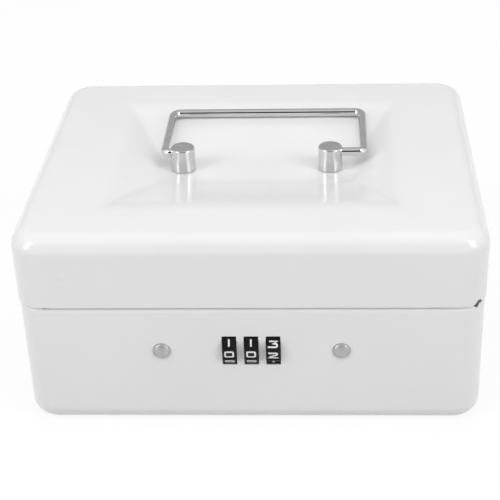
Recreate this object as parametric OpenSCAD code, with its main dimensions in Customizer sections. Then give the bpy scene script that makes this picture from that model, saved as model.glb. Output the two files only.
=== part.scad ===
// Steel cash box with a hinged lid, a fold-flat wire handle and a three-wheel combination lock.
// The origin is at the centre of the underside, the front faces -Y and +Z is up.

/* [Box] */
// Width of the closed box over the lid
box_w = 200; // [180:1:240]
// Depth of the closed box over the lid, front to back
box_d = 166; // [160:1:200]
// Height from the underside to the flat top of the lid
box_h = 93; // [90:1:110]
// Height of the lid, from the lower edge of its skirt to its top
lid_h = 32.6; // [30:0.2:36]
// Radius of the upright corners of the lid
corner_r = 13; // [11:0.5:18]
// Radius of the bend between the lid's top and its sides
lid_edge_r = 7.3; // [4:0.1:9]
// Radius of the bend between the base's bottom and its sides
base_edge_r = 8; // [4:0.5:9]
// Thickness of the steel sheet
sheet_t = 0.8; // [0.6:0.1:1.0]
// How far the lid's skirt stands out past the base's wall below it
skirt_over = 0.6; // [0.4:0.05:0.8]
// Height of the base's rim inside the lid
rim_h = 5; // [4.4:0.2:6]
// How far the base's rim is set in from its wall by a double bend
rim_inset = 1.2; // [0.8:0.1:1.4]
// Outside radius of the two bends below the rim
rim_bend_r = 3.6; // [2:0.1:4]
// Height of the double bend that shows below the lid
rim_bend_show = 2.2; // [1.5:0.1:2.8]

/* [Lid recess] */
// Width of the recess at the lid's top
recess_w = 128; // [120:1:140]
// Front-to-back size of the recess at the lid's top
recess_l = 104; // [98:1:115]
// Depth of the recess floor below the lid's top
recess_depth = 9; // [7:0.5:9.5]
// Width of the recess floor
recess_floor_w = 92; // [86:1:100]
// Front-to-back size of the recess floor
recess_floor_l = 27; // [20:1:34]

/* [Handle] */
// Diameter of a handle post
post_d = 11; // [10:0.5:13]
// Height of a handle post above the recess floor
post_h = 11.4; // [11:0.2:13]
// Distance between the centres of the two posts
post_spacing = 68; // [62:1:74]
// Chamfer at the foot of a post
post_chamfer = 0.6; // [0.2:0.1:1.2]
// Diameter of the handle's wire
wire_d = 4; // [3:0.5:4.5]
// Radial clearance of the wire in the posts
wire_fit = 0.1; // [0.05:0.01:0.1]
// Depth of the pivot below the top of a post
pivot_drop = 3; // [2.8:0.1:3.5]
// Thickness of the post's metal beyond the blind end of its pivot hole
post_bore_end = 1.2; // [0.8:0.1:2]
// Gap between the wire's end and the blind end of its hole
wire_end_gap = 0.3; // [0.1:0.1:0.6]
// Clearance between a post and the arm beside it when the handle is centred
bail_side_play = 4.5; // [4.2:0.1:6]
// How far the handle stands to the right of the middle, within its side play
bail_offset = 3.5; // [0:0.1:3.5]
// Distance from the pivot to the middle of the grip
bail_l = 42.4; // [40:0.2:46]
// Bend radius of the wire's centre line at the pivots
stub_bend_r = 3; // [2.6:0.1:3]
// Bend radius of the wire's centre line at the grip
grip_bend_r = 4; // [3:0.5:6]
// Gap between the grip and the recess wall when the handle lies flat
bail_rest_gap = 0.2; // [0.1:0.05:0.4]
// Thread diameter of the screws that hold the posts
post_screw_d = 4; // [3:0.5:4]
// Length of those screws under the head
post_screw_l = 7; // [6:0.1:7.2]
// Clearance round a screw in a sheet hole
screw_gap = 0.25; // [0.1:0.05:0.4]
// Clearance between a screw thread's diameter and its nut or tapped hole
thread_gap = 0.1; // [0.05:0.05:0.2]
// Depth of a tapped hole beyond the screw's end
tap_end_gap = 0.3; // [0.1:0.1:0.8]
// Outside diameter of the washers under the recess
washer_d = 9; // [8:0.5:11]
// Thickness of those washers
washer_t = 0.8; // [0.5:0.1:1.2]
// Diameter of a screw head
screw_head_d = 7.6; // [6.5:0.1:8]
// Height of a screw head
screw_head_h = 2.4; // [2:0.1:3]
// Width of the cross slot in a screw head
screw_slot_w = 0.9; // [0.6:0.1:1.2]

/* [Hinges] */
// Distance between the centres of the two hinges
hinge_inset = 40; // [35:1:50]
// Width of a hinge
hinge_w = 24; // [20:1:30]
// Distance of the hinge axis behind the lid's rear face
hinge_back = 2.3; // [2.2:0.1:2.6]
// Outside diameter of a hinge knuckle
knuckle_d = 4; // [3.6:0.1:4.2]
// Diameter of a hinge pin
hinge_pin_d = 2; // [1.5:0.1:2.4]
// Radial clearance of the lid's knuckle on its pin
pin_fit = 0.05; // [0.02:0.01:0.1]
// Gap between neighbouring knuckles
knuckle_gap = 0.3; // [0.2:0.05:0.5]
// Thickness of a hinge leaf
leaf_t = 1; // [0.8:0.1:1.2]
// Height of the leaf on the base
base_leaf_h = 13; // [11:0.5:18]
// Height of the leaf on the lid
lid_leaf_h = 17.5; // [15:0.5:20]
// Length of the stop lug on the lid's knuckle, from the hinge axis
stop_lug_r = 3.4; // [3.2:0.1:3.6]
// Angle of the open lid at which its stop lugs would touch the base's leaves
lid_stop_angle = 101.5; // [101:0.5:105]
// Shank diameter of a rivet
rivet_d = 2.6; // [2:0.1:3]
// Diameter of a rivet head
rivet_head_d = 4.4; // [4:0.1:5]
// Height of a rivet head
rivet_head_h = 0.9; // [0.6:0.1:1.2]
// Gap between a rivet head and the end of its leaf
rivet_edge = 2.8; // [1:0.1:4]

/* [Number wheels] */
// Diameter of a number wheel over its grip ridges
wheel_d = 17.6; // [17:0.1:18]
// Height of the grip ridges between the digits
ridge_h = 0.3; // [0.1:0.05:0.4]
// Width of a grip ridge
ridge_w = 0.7; // [0.5:0.1:1]
// Number of digits on a wheel
digit_count = 10; // [10:1:10]
// Width of a number wheel
wheel_w = 5.7; // [5.4:0.1:5.8]
// Distance between the centres of neighbouring wheels
wheel_pitch = 9.4; // [9.3:0.1:9.8]
// How far the wheels stand out of the front wall
wheel_out = 2.65; // [2:0.05:2.7]
// Height of the wheels' axis and the buttons above the underside
lock_z = 38.4; // [36:0.2:40]
// Gap round a wheel in its window, at the sides
window_side_gap = 0.25; // [0.15:0.05:0.3]
// Gap between a wheel and the upper and lower edge of its window
window_end_gap = 0.3; // [0.2:0.05:0.5]
// How far digit 0 of the left and middle wheels stands below straight ahead, in degrees
wheel_turn = 2.5; // [0:0.5:5]
// How far digit 2 of the right wheel stands below straight ahead, in degrees
right_wheel_turn = 6.5; // [0:0.5:10]
// Diameter of the shaft through the wheels
shaft_d = 3; // [2.6:0.1:3.2]
// Radial clearance of the sleeves on the shaft
shaft_fit = 0.05; // [0.02:0.01:0.08]
// Thickness of the detent spring's strip under the wheels
detent_t = 0.4; // [0.3:0.05:0.5]
// Front-to-back size of that strip
detent_l = 10; // [8:0.5:12]
// Radius of the bump below each wheel
bump_r = 0.7; // [0.5:0.05:0.9]
// Gap between a bump and the wheel's ridges
bump_gap = 0.2; // [0.1:0.05:0.4]
// Distance of a bump's ends from the wheel's faces
bump_inset = 1; // [0.5:0.1:1.5]

/* [Code sleeves] */
// Radius over the corners of the ten-sided drive on a sleeve
drive_r = 3.4; // [3.2:0.1:3.6]
// Clearance of the drive inside its wheel
drive_gap = 0.06; // [0.04:0.01:0.1]
// Length of the ten-sided drive along the shaft
drive_l = 1.6; // [1.2:0.1:1.6]
// Distance from a wheel's left face to the drive inside it
drive_start = 0.3; // [0.1:0.05:0.4]
// Gap between the drive's right end and the end of its ten-sided pocket
drive_end_gap = 0.1; // [0.05:0.05:0.2]
// Radial room round the drive once it is shifted out of its pocket
drive_free_gap = 0.2; // [0.1:0.05:0.4]
// Outside diameter of a sleeve's tube
sleeve_d = 5; // [4.6:0.1:5.4]
// Gap between a sleeve's gate flange and the front wall
flange_wall_gap = 0.25; // [0.15:0.05:0.3]
// Thickness of the gate flange
flange_t = 0.9; // [0.7:0.1:1]
// Gap between a wheel and the gate flange beside it
flange_gap = 0.4; // [0.3:0.05:0.5]
// How far a sleeve stands out of its wheel on the left
sleeve_left = 1.9; // [1.8:0.05:2]
// Gap between neighbouring sleeves
sleeve_gap = 0.1; // [0.05:0.01:0.15]
// How far the code lever shifts the sleeves
code_shift = 1.8; // [1.7:0.05:1.8]

/* [Release] */
// Diameter of a push button
button_d = 7.4; // [7:0.1:8.5]
// Radial gap round a button in the front wall
button_gap = 0.15; // [0.1:0.05:0.3]
// Distance between the two buttons
button_spacing = 77; // [76:0.2:78]
// How far a button stands out of the front wall
button_out = 1.6; // [1:0.1:2]
// Diameter of the button's raised middle
button_boss_d = 5; // [4:0.1:5.5]
// Height of the button's rim behind the raised middle
button_boss_h = 0.6; // [0.3:0.1:0.8]
// Travel of the buttons and the release plate
release_travel = 2.2; // [1.8:0.1:2.2]
// Diameter of a button's stem
stem_d = 4; // [3.5:0.1:4.5]
// Thickness of the release plate
plate_t = 1.2; // [1:0.1:1.4]
// Gap between the wheels and the release plate over them
plate_gap = 1.2; // [1:0.1:1.5]
// How far the release plate reaches beyond a button's tab
plate_side = 2.8; // [1:0.1:4]
// Front-to-back size of the release plate
plate_l = 10.5; // [9:0.5:12]
// Width of the tab that carries a button
tab_w = 11; // [9:0.5:11]
// Distance of the tabs behind the inside of the front wall
tab_set = 4.1; // [3.6:0.1:4.4]
// How far a tab reaches below the buttons' axis
tab_drop = 5; // [4:0.1:6]
// Thickness of a button's collar behind the front wall
collar_t = 0.8; // [0.6:0.1:1]
// How far that collar stands out round the button
collar_w = 1; // [0.6:0.1:1.4]
// Gap between the collar and the front wall
collar_gap = 0.1; // [0.05:0.05:0.2]
// Step between a stem and its thinner end in the tab
stem_step = 0.5; // [0.3:0.1:0.8]
// How far a stem's end stands out behind its tab
stem_out = 0.8; // [0.4:0.1:1.2]
// Width of a finger between the wheels
finger_w = 1.1; // [1:0.1:1.2]
// Distance of a finger's back face in front of the wheels' axis
finger_set = 4; // [3.9:0.05:4.1]
// Height of a finger's tip above the wheels' axis
finger_rise = 4.4; // [4.3:0.05:4.6]
// Outside diameter of a button's return spring
spring_d = 6; // [5:0.1:7]
// Wire thickness of that spring
spring_wire = 0.7; // [0.5:0.1:0.8]

/* [Lid catches] */
// Distance between the two catches on the lid
catch_spacing = 53; // [52:0.5:54]
// Width of a catch
catch_w = 11; // [10:0.5:11]
// Thickness of a catch
catch_t = 1.2; // [1:0.1:1.4]
// Height of the catch's leaf on the lid's front wall
catch_leaf_h = 13; // [10:0.5:14]
// Width of the latch window in a catch
catch_window_w = 7; // [6.5:0.1:7.5]
// Height of the bar under the latch window
catch_bar_h = 2.9; // [2.5:0.1:3]
// Gap between a catch and the base's rim in front of it, which the catch needs as the lid swings up
catch_gap = 0.9; // [0.8:0.1:1.2]
// Gap between the latch tongue and the catch
tongue_gap = 0.2; // [0.15:0.05:0.3]
// Width of a latch tongue
tongue_w = 6; // [5:0.1:6.2]
// Length of a latch tongue
tongue_l = 1; // [0.8:0.1:1.5]
// Gap on each side of a catch in the release plate and the case
catch_side_gap = 0.5; // [0.3:0.1:0.8]
// Gap behind a catch in the lock case
catch_back_gap = 1.2; // [0.8:0.1:1.6]
// Gap between the foot of a catch's leaf and the base's rim
catch_rim_gap = 1; // [0.5:0.1:1.5]

/* [Lock case] */
// Wall thickness of the lock case
case_t = 1.5; // [1.2:0.1:1.8]
// Gap between the release plate's ends and the side walls of the case
case_side_gap = 1; // [0.5:0.1:1.5]
// Inside depth of the lock case behind the front wall
case_l = 16.2; // [16:0.1:18]
// Gap between the moving pieces and the case
case_gap = 0.3; // [0.3:0.05:0.5]
// Width of each fixing ear
ear_w = 8; // [7:0.5:10]
// Height of the fixing ears
ear_h = 12; // [10:0.5:14]
// Diameter of the welded studs
stud_d = 4; // [3:0.5:4]
// Width across the flats of the stud nuts
nut_af = 7; // [6.5:0.1:7]
// Height of the stud nuts
nut_h = 3.2; // [2.4:0.1:3.5]
// How far a stud stands out of its nut
stud_out = 1.5; // [0.5:0.1:2]

/* [Code lever] */
// Thickness of the lever's forks and bar
lever_t = 1.1; // [1:0.05:1.1]
// Height of the lever's forks
fork_h = 7; // [6:0.5:9]
// How far the forks and the bearing ribs reach in front of the shaft's axis
fork_front_l = 2.5; // [2:0.1:3]
// Gap between the lever's forks and the shaft
fork_shaft_gap = 0.2; // [0.1:0.05:0.4]
// Gap between the shaft and the closed end of a fork's slot
fork_end_gap = 0.5; // [0.3:0.1:1]
// Gap between the forks and the bearing ribs
rib_gap = 0.65; // [0.5:0.05:0.8]
// How far the lever's bar is set in from the upper and lower edge of its forks
bar_inset = 1; // [0.5:0.1:1.5]
// Side length of the lever's knob
knob_w = 4; // [3.5:0.1:5]
// How far the knob stands out of the case
knob_out = 2.6; // [2:0.1:3]

/* [Coin tray] */
// Gap between the tray's body and the ledges beside it
tray_ledge_gap = 1.6; // [1:0.1:4]
// Gap between the tray and the code lever's knob in front of it
tray_front_gap = 2.9; // [2:0.1:6]
// Height of the tray over its flange
tray_h = 28; // [20:1:40]
// Wall thickness of the tray
tray_wall = 1.6; // [1.2:0.1:2.4]
// Corner radius of the tray
tray_r = 8; // [5:0.5:12]
// Radius of the corners inside a compartment
cup_r = 6; // [4:0.5:8]
// Number of coin compartments
cup_count = 4; // [3:1:5]
// Front-to-back size of the coin compartments
cup_l = 62; // [50:1:72]
// Gap between the tray's side flange and the side wall
tray_flange_gap = 2.6; // [1.5:0.1:4]
// Thickness of the side flange
flange_h = 2; // [1.6:0.1:3]
// Gap between the tray and the rear wall
tray_back_gap = 3; // [2:0.5:4]
// Width of the ledges that carry the tray
ledge_w = 8.5; // [7:0.5:9]
// Distance of the ledges below the bends of the base's rim
ledge_drop = 0.2; // [0:0.1:4]
// Height of a ledge's welded leg
ledge_leg_h = 8; // [6:0.5:12]
// How far a ledge stops short of each end of the tray
ledge_inset = 13; // [8:1:25]

/* [Hidden] */

$fn = 64;
// Small overshoot that carries a cut past the face it starts from
cut = 1;
// Small overlap that joins the web of a knuckle, or the root of its lug, to the barrel
join = 0.2;

// Shells
base_w = box_w - 2 * skirt_over;
base_d = box_d - 2 * skirt_over;
base_corner_r = corner_r - skirt_over;
skirt_z = box_h - lid_h;
base_h = skirt_z + rim_h;
bend_z = skirt_z - rim_bend_show;
bend_angle = acos(1 - rim_inset / (2 * rim_bend_r - sheet_t));
bend_h = (2 * rim_bend_r - sheet_t) * sin(bend_angle);
front_out_y = -base_d / 2;
front_in_y = front_out_y + sheet_t;
back_out_y = base_d / 2;
back_in_y = back_out_y - sheet_t;
side_in_x = base_w / 2 - sheet_t;
lid_front_in_y = -box_d / 2 + sheet_t;
lid_back_out_y = box_d / 2;
lid_back_in_y = lid_back_out_y - sheet_t;

// Handle
recess_z = box_h - recess_depth;
recess_under_z = recess_z - sheet_t;
pivot_z = recess_z + post_h - pivot_drop;
bail_w = post_spacing + post_d + wire_d + 2 * bail_side_play;
arm_x = bail_w / 2;
stub_x = post_spacing / 2 - post_d / 2 + post_bore_end + wire_end_gap + bail_offset;
recess_slope = atan(recess_depth / ((recess_l - recess_floor_l) / 2));
wall_z_at_grip = box_h - (recess_l / 2 - bail_l) * tan(recess_slope);
grip_rest_z = wall_z_at_grip + (wire_d / 2 + bail_rest_gap) / cos(recess_slope);
bail_rest_angle = asin((grip_rest_z - pivot_z) / bail_l);

// Hinges
hinge_y = lid_back_out_y + hinge_back;
hinge_z = skirt_z;
hinge_x = box_w / 2 - hinge_inset;
stop_face_y = back_out_y + leaf_t - hinge_y;
stop_tip_r = sqrt(stop_lug_r * stop_lug_r + leaf_t * leaf_t / 4);
stop_lug_angle = acos(stop_face_y / stop_tip_r) - atan(leaf_t / 2 / stop_lug_r) - lid_stop_angle;
knuckle_l = (hinge_w - 2 * knuckle_gap) / 3;
knuckle_room = knuckle_d / 2 + knuckle_gap;
base_leaf_top = hinge_z - knuckle_d / 2 - knuckle_gap;
rivet_spacing = hinge_w - rivet_head_d - 2 * rivet_edge;
base_rivet_z = base_leaf_top - leaf_t - base_leaf_h / 2;
lid_rivet_z = base_h + (hinge_z + lid_leaf_h - base_h) / 2;

// Wheels and sleeves
wheel_r = wheel_d / 2;
wheel_y = front_out_y + wheel_r - wheel_out;
window_w = wheel_w + 2 * window_side_gap;
wheel_to_wall = wheel_y - front_in_y;
window_h = 2 * (sqrt(wheel_r * wheel_r - wheel_to_wall * wheel_to_wall) + window_end_gap);
digit_angle = 360 / digit_count;
drive_room = drive_start + drive_l + drive_end_gap;
counterbore_r = drive_r + drive_free_gap;
flange_r = wheel_to_wall - flange_wall_gap;
flange_x = wheel_w + flange_gap;
sleeve_l = wheel_pitch - sleeve_gap;
stack_left = -wheel_pitch - wheel_w / 2 - sleeve_left;
stack_right = stack_left + 3 * wheel_pitch - sleeve_gap;

// Release plate, fingers and catches
plate_z = lock_z + wheel_r + plate_gap;
plate_w = button_spacing + tab_w + 2 * plate_side;
plate_front = front_in_y + case_gap;
finger_back = wheel_y - finger_set;
finger_low = lock_z + finger_rise;
gate_back = finger_set - release_travel - case_gap;
tab_y = front_in_y + tab_set;
catch_front = front_in_y + rim_inset + catch_gap;
catch_z_low = plate_z - case_gap - catch_bar_h;
catch_window_z = plate_z - case_gap;
catch_window_h = plate_t + 2 * case_gap;
notch_w = catch_w + 2 * catch_side_gap;
catch_leaf_z = base_h + catch_rim_gap;

// Lock case
case_w = plate_w + 2 * case_side_gap;
case_back_in = front_in_y + case_l;
case_bottom_in = lock_z - wheel_r - bump_gap - bump_r - detent_t;
case_top_in = plate_z + plate_t + case_gap;
rib_top = plate_z - case_gap;
left_rib_x = stack_left - sleeve_gap - lever_t - rib_gap;
right_rib_x = stack_right + sleeve_gap + lever_t + code_shift + rib_gap;
ear_x = case_w / 2 + case_t;
stud_x = ear_x + ear_w / 2;

// Code lever
bar_back = case_back_in - case_gap;
fork_front = wheel_y - fork_front_l;
knob_l = case_gap + case_t + knob_out;

// Tray
tray_back = back_in_y - tray_back_gap;
tray_w = 2 * (side_in_x - ledge_w - tray_ledge_gap);
tray_l = tray_back - bar_back - knob_l - tray_front_gap;
tray_mid_y = tray_back - tray_l / 2;
ledge_z = bend_z - ledge_drop;
ledge_l = tray_l - 2 * ledge_inset;
tray_top = ledge_z + flange_h;
tray_bottom = tray_top - tray_h;
cup_w = (tray_w - (cup_count + 1) * tray_wall) / cup_count;
notes_l = tray_l - cup_l - 3 * tray_wall;

STEEL = "#e9e9e9";
CHROME = "#b9bbbd";
ZINC = "#9a9da0";
BLACK = "#202124";

// Section of a pressed shell, from the centre of its corner bend outwards, open at y = 0
module shell_outline(high, corner, edge) {
    square([corner - edge, high]);
    square([corner, high - edge]);
    translate([corner - edge, high - edge])
        intersection() {
            circle(r = edge, $fn = 96);
            square(edge);
        }
}

module shell_section(high, corner, edge) {
    difference() {
        shell_outline(high, corner, edge);
        translate([0, -cut]) shell_outline(high + cut - sheet_t, corner - sheet_t, edge - sheet_t);
    }
}

// Area inside one face of the base's sheet: the cup, the double bend and the rim above it.
// depth is 0 for the outer face and the sheet's thickness for the inner one.
module base_outline(depth) {
    wall_x = base_corner_r - depth;
    rim_x = wall_x - rim_inset;
    low_bend_x = base_corner_r - rim_bend_r;
    high_bend_x = low_bend_x + 2 * rim_bend_r - sheet_t - rim_inset;
    high_bend_y = bend_z + bend_h;
    inner_bend_r = rim_bend_r - sheet_t;
    translate([0, bend_z]) mirror([0, 1]) shell_outline(bend_z - depth, wall_x, base_edge_r - depth);
    square_from(0, bend_z - depth, rim_x, base_h + (depth > 0 ? cut : 0));
    translate([low_bend_x, bend_z]) circle(r = rim_bend_r - depth, $fn = 96);
    difference() {
        polygon([[0, bend_z], [low_bend_x, bend_z], [high_bend_x, high_bend_y], [0, high_bend_y]]);
        translate([high_bend_x, high_bend_y]) circle(r = inner_bend_r + depth, $fn = 96);
    }
}

module square_from(x1, y1, x2, y2) {
    translate([x1, y1]) square([x2 - x1, y2 - y1]);
}

module base_section() {
    difference() {
        base_outline(0);
        base_outline(sheet_t);
    }
}

// Four straight sides and four round corners with one section
module shell_walls(wide, deep, corner) {
    half_w = wide / 2 - corner;
    half_d = deep / 2 - corner;
    for (k = [0 : 3]) {
        across = k % 2 == 0 ? half_w : half_d;
        along = k % 2 == 0 ? half_d : half_w;
        rotate([0, 0, 90 * k]) {
            translate([across, along, 0]) rotate([90, 0, 0]) linear_extrude(2 * along) children();
            translate([across, along, 0]) rotate_extrude(angle = 90, $fn = 96) children();
        }
    }
}

module flat_panel(wide, deep, corner, z) {
    translate([corner - wide / 2, corner - deep / 2, z])
        cube([wide - 2 * corner, deep - 2 * corner, sheet_t]);
}

// Block with sloping sides between two rectangles, the wide one at the top
module sloping_block(top_w, top_l, floor_w, floor_l, floor_z, top_z) {
    polyhedron(
        points = [
            for (s = [[floor_w, floor_l, floor_z], [top_w, top_l, top_z]])
                for (c = [[-1, -1], [1, -1], [1, 1], [-1, 1]])
                    [c[0] * s[0] / 2, c[1] * s[1] / 2, s[2]]
        ],
        faces = [
            [0, 1, 2, 3], [7, 6, 5, 4],
            [4, 5, 1, 0], [5, 6, 2, 1], [6, 7, 3, 2], [7, 4, 0, 3]
        ]
    );
}

module recess_sheet() {
    difference() {
        union() {
            sloping_block(recess_w, recess_l, recess_floor_w, recess_floor_l,
                recess_under_z, box_h - sheet_t);
            translate([-recess_w / 2, -recess_l / 2, box_h - sheet_t]) cube([recess_w, recess_l, sheet_t]);
        }
        sloping_block(recess_w, recess_l, recess_floor_w, recess_floor_l, recess_z, box_h);
    }
}

module along_x(x, y, z, r, len) {
    translate([x, y, z]) rotate([0, 90, 0]) cylinder(r = r, h = len);
}

module along_y(x, y, z, r, len) {
    translate([x, y, z]) rotate([-90, 0, 0]) cylinder(r = r, h = len);
}

module rivet_holes(z) {
    for (sx = [-1, 1], dx = [-0.5, 0.5])
        along_y(sx * hinge_x + dx * rivet_spacing, 0, z, rivet_d / 2 + pin_fit, box_d);
}

module base_shell() {
    color(STEEL)
        difference() {
            union() {
                shell_walls(base_w, base_d, base_corner_r) base_section();
                flat_panel(base_w, base_d, base_corner_r, 0);
            }
            for (k = [-1 : 1])
                translate([k * wheel_pitch - window_w / 2, front_out_y - cut, lock_z - window_h / 2])
                    cube([window_w, sheet_t + 2 * cut, window_h]);
            for (s = [-1, 1])
                along_y(s * button_spacing / 2, front_out_y - cut, lock_z,
                    button_d / 2 + button_gap, sheet_t + 2 * cut);
            rivet_holes(base_rivet_z);
        }
}

module lid_shell() {
    color(STEEL)
        difference() {
            union() {
                translate([0, 0, skirt_z])
                    shell_walls(box_w, box_d, corner_r) shell_section(lid_h, corner_r, lid_edge_r);
                difference() {
                    flat_panel(box_w, box_d, corner_r, box_h - sheet_t);
                    translate([-recess_w / 2, -recess_l / 2, box_h - sheet_t - cut])
                        cube([recess_w, recess_l, sheet_t + 2 * cut]);
                }
                recess_sheet();
            }
            for (s = [-1, 1])
                translate([s * post_spacing / 2, 0, recess_under_z - cut])
                    cylinder(d = post_screw_d + 2 * screw_gap, h = sheet_t + 2 * cut);
            rivet_holes(lid_rivet_z);
        }
}

// Handle posts, each with a blind cross hole for the wire and a tapped hole in its foot
module handle_post(side) {
    bore_l = post_d - post_bore_end;
    color(CHROME)
        translate([side * post_spacing / 2, 0, recess_z])
            difference() {
                rotate_extrude()
                    polygon([
                        [0, 0], [post_d / 2 - post_chamfer, 0], [post_d / 2, post_chamfer],
                        [post_d / 2, post_h], [0, post_h]
                    ]);
                rotate([0, 0, side > 0 ? 0 : 180])
                    along_x(post_d / 2 - bore_l, 0, post_h - pivot_drop, wire_d / 2 + wire_fit, bore_l + cut);
                translate([0, 0, -cut])
                    cylinder(d = post_screw_d + thread_gap,
                        h = cut + post_screw_l - sheet_t - washer_t + tap_end_gap);
            }
}

module handle_screws() {
    head_z = recess_under_z - washer_t;
    color(ZINC)
        for (s = [-1, 1])
            translate([s * post_spacing / 2, 0, head_z]) {
                cylinder(d = post_screw_d, h = post_screw_l);
                difference() {
                    translate([0, 0, -screw_head_h]) cylinder(d = screw_head_d, h = screw_head_h);
                    for (a = [0, 90])
                        rotate([0, 0, a])
                            translate([-screw_head_d / 3, -screw_slot_w / 2, -screw_head_h - cut])
                                cube([screw_head_d * 2 / 3, screw_slot_w, cut + screw_head_h / 2]);
                }
            }
}

module handle_washers() {
    color(ZINC)
        for (s = [-1, 1])
            translate([s * post_spacing / 2, 0, recess_under_z - washer_t])
                difference() {
                    cylinder(d = washer_d, h = washer_t);
                    translate([0, 0, -cut])
                        cylinder(d = post_screw_d + 2 * screw_gap, h = washer_t + 2 * cut);
                }
}

// Quarter bend of the wire in the XY plane, from the +X side of its centre round to the +Y side
module wire_bend(r) {
    rotate_extrude(angle = 90) translate([r, 0]) circle(d = wire_d);
}

// Half of the wire handle, lying flat with its pivot on the X axis
module bail_half(side) {
    arm_l = bail_l - stub_bend_r - grip_bend_r;
    mirror([side > 0 ? 0 : 1, 0, 0]) {
        along_x(stub_x, 0, 0, wire_d / 2, arm_x - stub_bend_r - stub_x);
        translate([arm_x - stub_bend_r, stub_bend_r, 0]) rotate([0, 0, -90]) wire_bend(stub_bend_r);
        along_y(arm_x, stub_bend_r, 0, wire_d / 2, arm_l);
        translate([arm_x - grip_bend_r, stub_bend_r + arm_l, 0]) wire_bend(grip_bend_r);
    }
}

module handle_bail() {
    grip_l = bail_w - 2 * grip_bend_r;
    color(CHROME)
        translate([bail_offset, 0, pivot_z])
            rotate([bail_rest_angle, 0, 0]) {
                bail_half(-1);
                bail_half(1);
                along_x(-grip_l / 2, bail_l, 0, wire_d / 2, grip_l);
            }
}

// Left end of hinge knuckle number k of three, measured from the middle of the hinge
function knuckle_x(k) = -hinge_w / 2 + k * (knuckle_l + knuckle_gap);

module base_hinge_leaf(side) {
    leaf_y = back_out_y;
    color(CHROME)
        translate([side * hinge_x, 0, 0])
            difference() {
                union() {
                    translate([-hinge_w / 2, leaf_y, base_leaf_top - leaf_t - base_leaf_h])
                        cube([hinge_w, leaf_t, base_leaf_h + leaf_t]);
                    for (k = [0, 2]) {
                        translate([knuckle_x(k), leaf_y, base_leaf_top - leaf_t])
                            cube([knuckle_l, hinge_y - leaf_y, leaf_t + knuckle_gap + join]);
                        along_x(knuckle_x(k), hinge_y, hinge_z, knuckle_d / 2, knuckle_l);
                    }
                }
                along_x(-hinge_w / 2 - cut, hinge_y, hinge_z, hinge_pin_d / 2, hinge_w + 2 * cut);
                for (dx = [-0.5, 0.5])
                    along_y(dx * rivet_spacing, leaf_y - cut, base_rivet_z,
                        rivet_d / 2 + pin_fit, leaf_t + 2 * cut);
            }
}

module lid_hinge_leaf(side) {
    leaf_y = lid_back_out_y;
    lug_root = hinge_pin_d / 2 + 2 * join;
    color(CHROME)
        translate([side * hinge_x, 0, 0])
            difference() {
                union() {
                    translate([-hinge_w / 2, leaf_y, hinge_z + knuckle_room])
                        cube([hinge_w, leaf_t, lid_leaf_h - knuckle_room]);
                    translate([knuckle_x(1), leaf_y, hinge_z])
                        cube([knuckle_l, leaf_t, knuckle_room + leaf_t]);
                    along_x(knuckle_x(1), hinge_y, hinge_z, knuckle_d / 2, knuckle_l);
                    translate([knuckle_x(1), hinge_y, hinge_z])
                        rotate([-stop_lug_angle, 0, 0])
                            translate([0, lug_root, -leaf_t / 2])
                                cube([knuckle_l, stop_lug_r - lug_root, leaf_t]);
                }
                along_x(knuckle_x(1) - cut, hinge_y, hinge_z, hinge_pin_d / 2 + pin_fit, knuckle_l + 2 * cut);
                for (dx = [-0.5, 0.5])
                    along_y(dx * rivet_spacing, leaf_y - cut, lid_rivet_z,
                        rivet_d / 2 + pin_fit, leaf_t + 2 * cut);
            }
}

module hinge_pin(side) {
    color(ZINC) along_x(side * hinge_x - hinge_w / 2, hinge_y, hinge_z, hinge_pin_d / 2, hinge_w);
}

// Low dome on the plane y = 0 that bulges towards +Y
module rivet_dome() {
    ball_r = (rivet_head_h * rivet_head_h + rivet_head_d * rivet_head_d / 4) / (2 * rivet_head_h);
    intersection() {
        translate([0, rivet_head_h - ball_r, 0]) sphere(r = ball_r);
        translate([-rivet_head_d, 0, -rivet_head_d])
            cube([2 * rivet_head_d, rivet_head_h + cut, 2 * rivet_head_d]);
    }
}

// Two rivets of each hinge leaf, through the leaf and the wall behind it
module hinge_rivets(inner_y, outer_y, z) {
    color(ZINC)
        for (sx = [-1, 1], dx = [-0.5, 0.5])
            translate([sx * hinge_x + dx * rivet_spacing, 0, z]) {
                along_y(0, inner_y, 0, rivet_d / 2, outer_y - inner_y);
                translate([0, outer_y, 0]) rivet_dome();
                translate([0, inner_y, 0]) mirror([0, 1, 0]) rivet_dome();
            }
}

module base_hinge_rivets() {
    hinge_rivets(back_in_y, back_out_y + leaf_t, base_rivet_z);
}

module lid_hinge_rivets() {
    hinge_rivets(lid_back_in_y, lid_back_out_y + leaf_t, lid_rivet_z);
}

// Z-shaped hook that hangs from the lid's front wall into the lock case
module lid_catch(side) {
    color(ZINC)
        translate([side * catch_spacing / 2 - catch_w / 2, 0, 0])
            difference() {
                union() {
                    translate([0, lid_front_in_y, catch_leaf_z]) cube([catch_w, catch_t, catch_leaf_h]);
                    translate([0, lid_front_in_y, catch_leaf_z])
                        cube([catch_w, catch_front + catch_t - lid_front_in_y, catch_t]);
                    translate([0, catch_front, catch_z_low])
                        cube([catch_w, catch_t, catch_leaf_z + catch_t - catch_z_low]);
                }
                translate([(catch_w - catch_window_w) / 2, catch_front - cut, catch_window_z])
                    cube([catch_window_w, catch_t + 2 * cut, catch_window_h]);
            }
}

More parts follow.
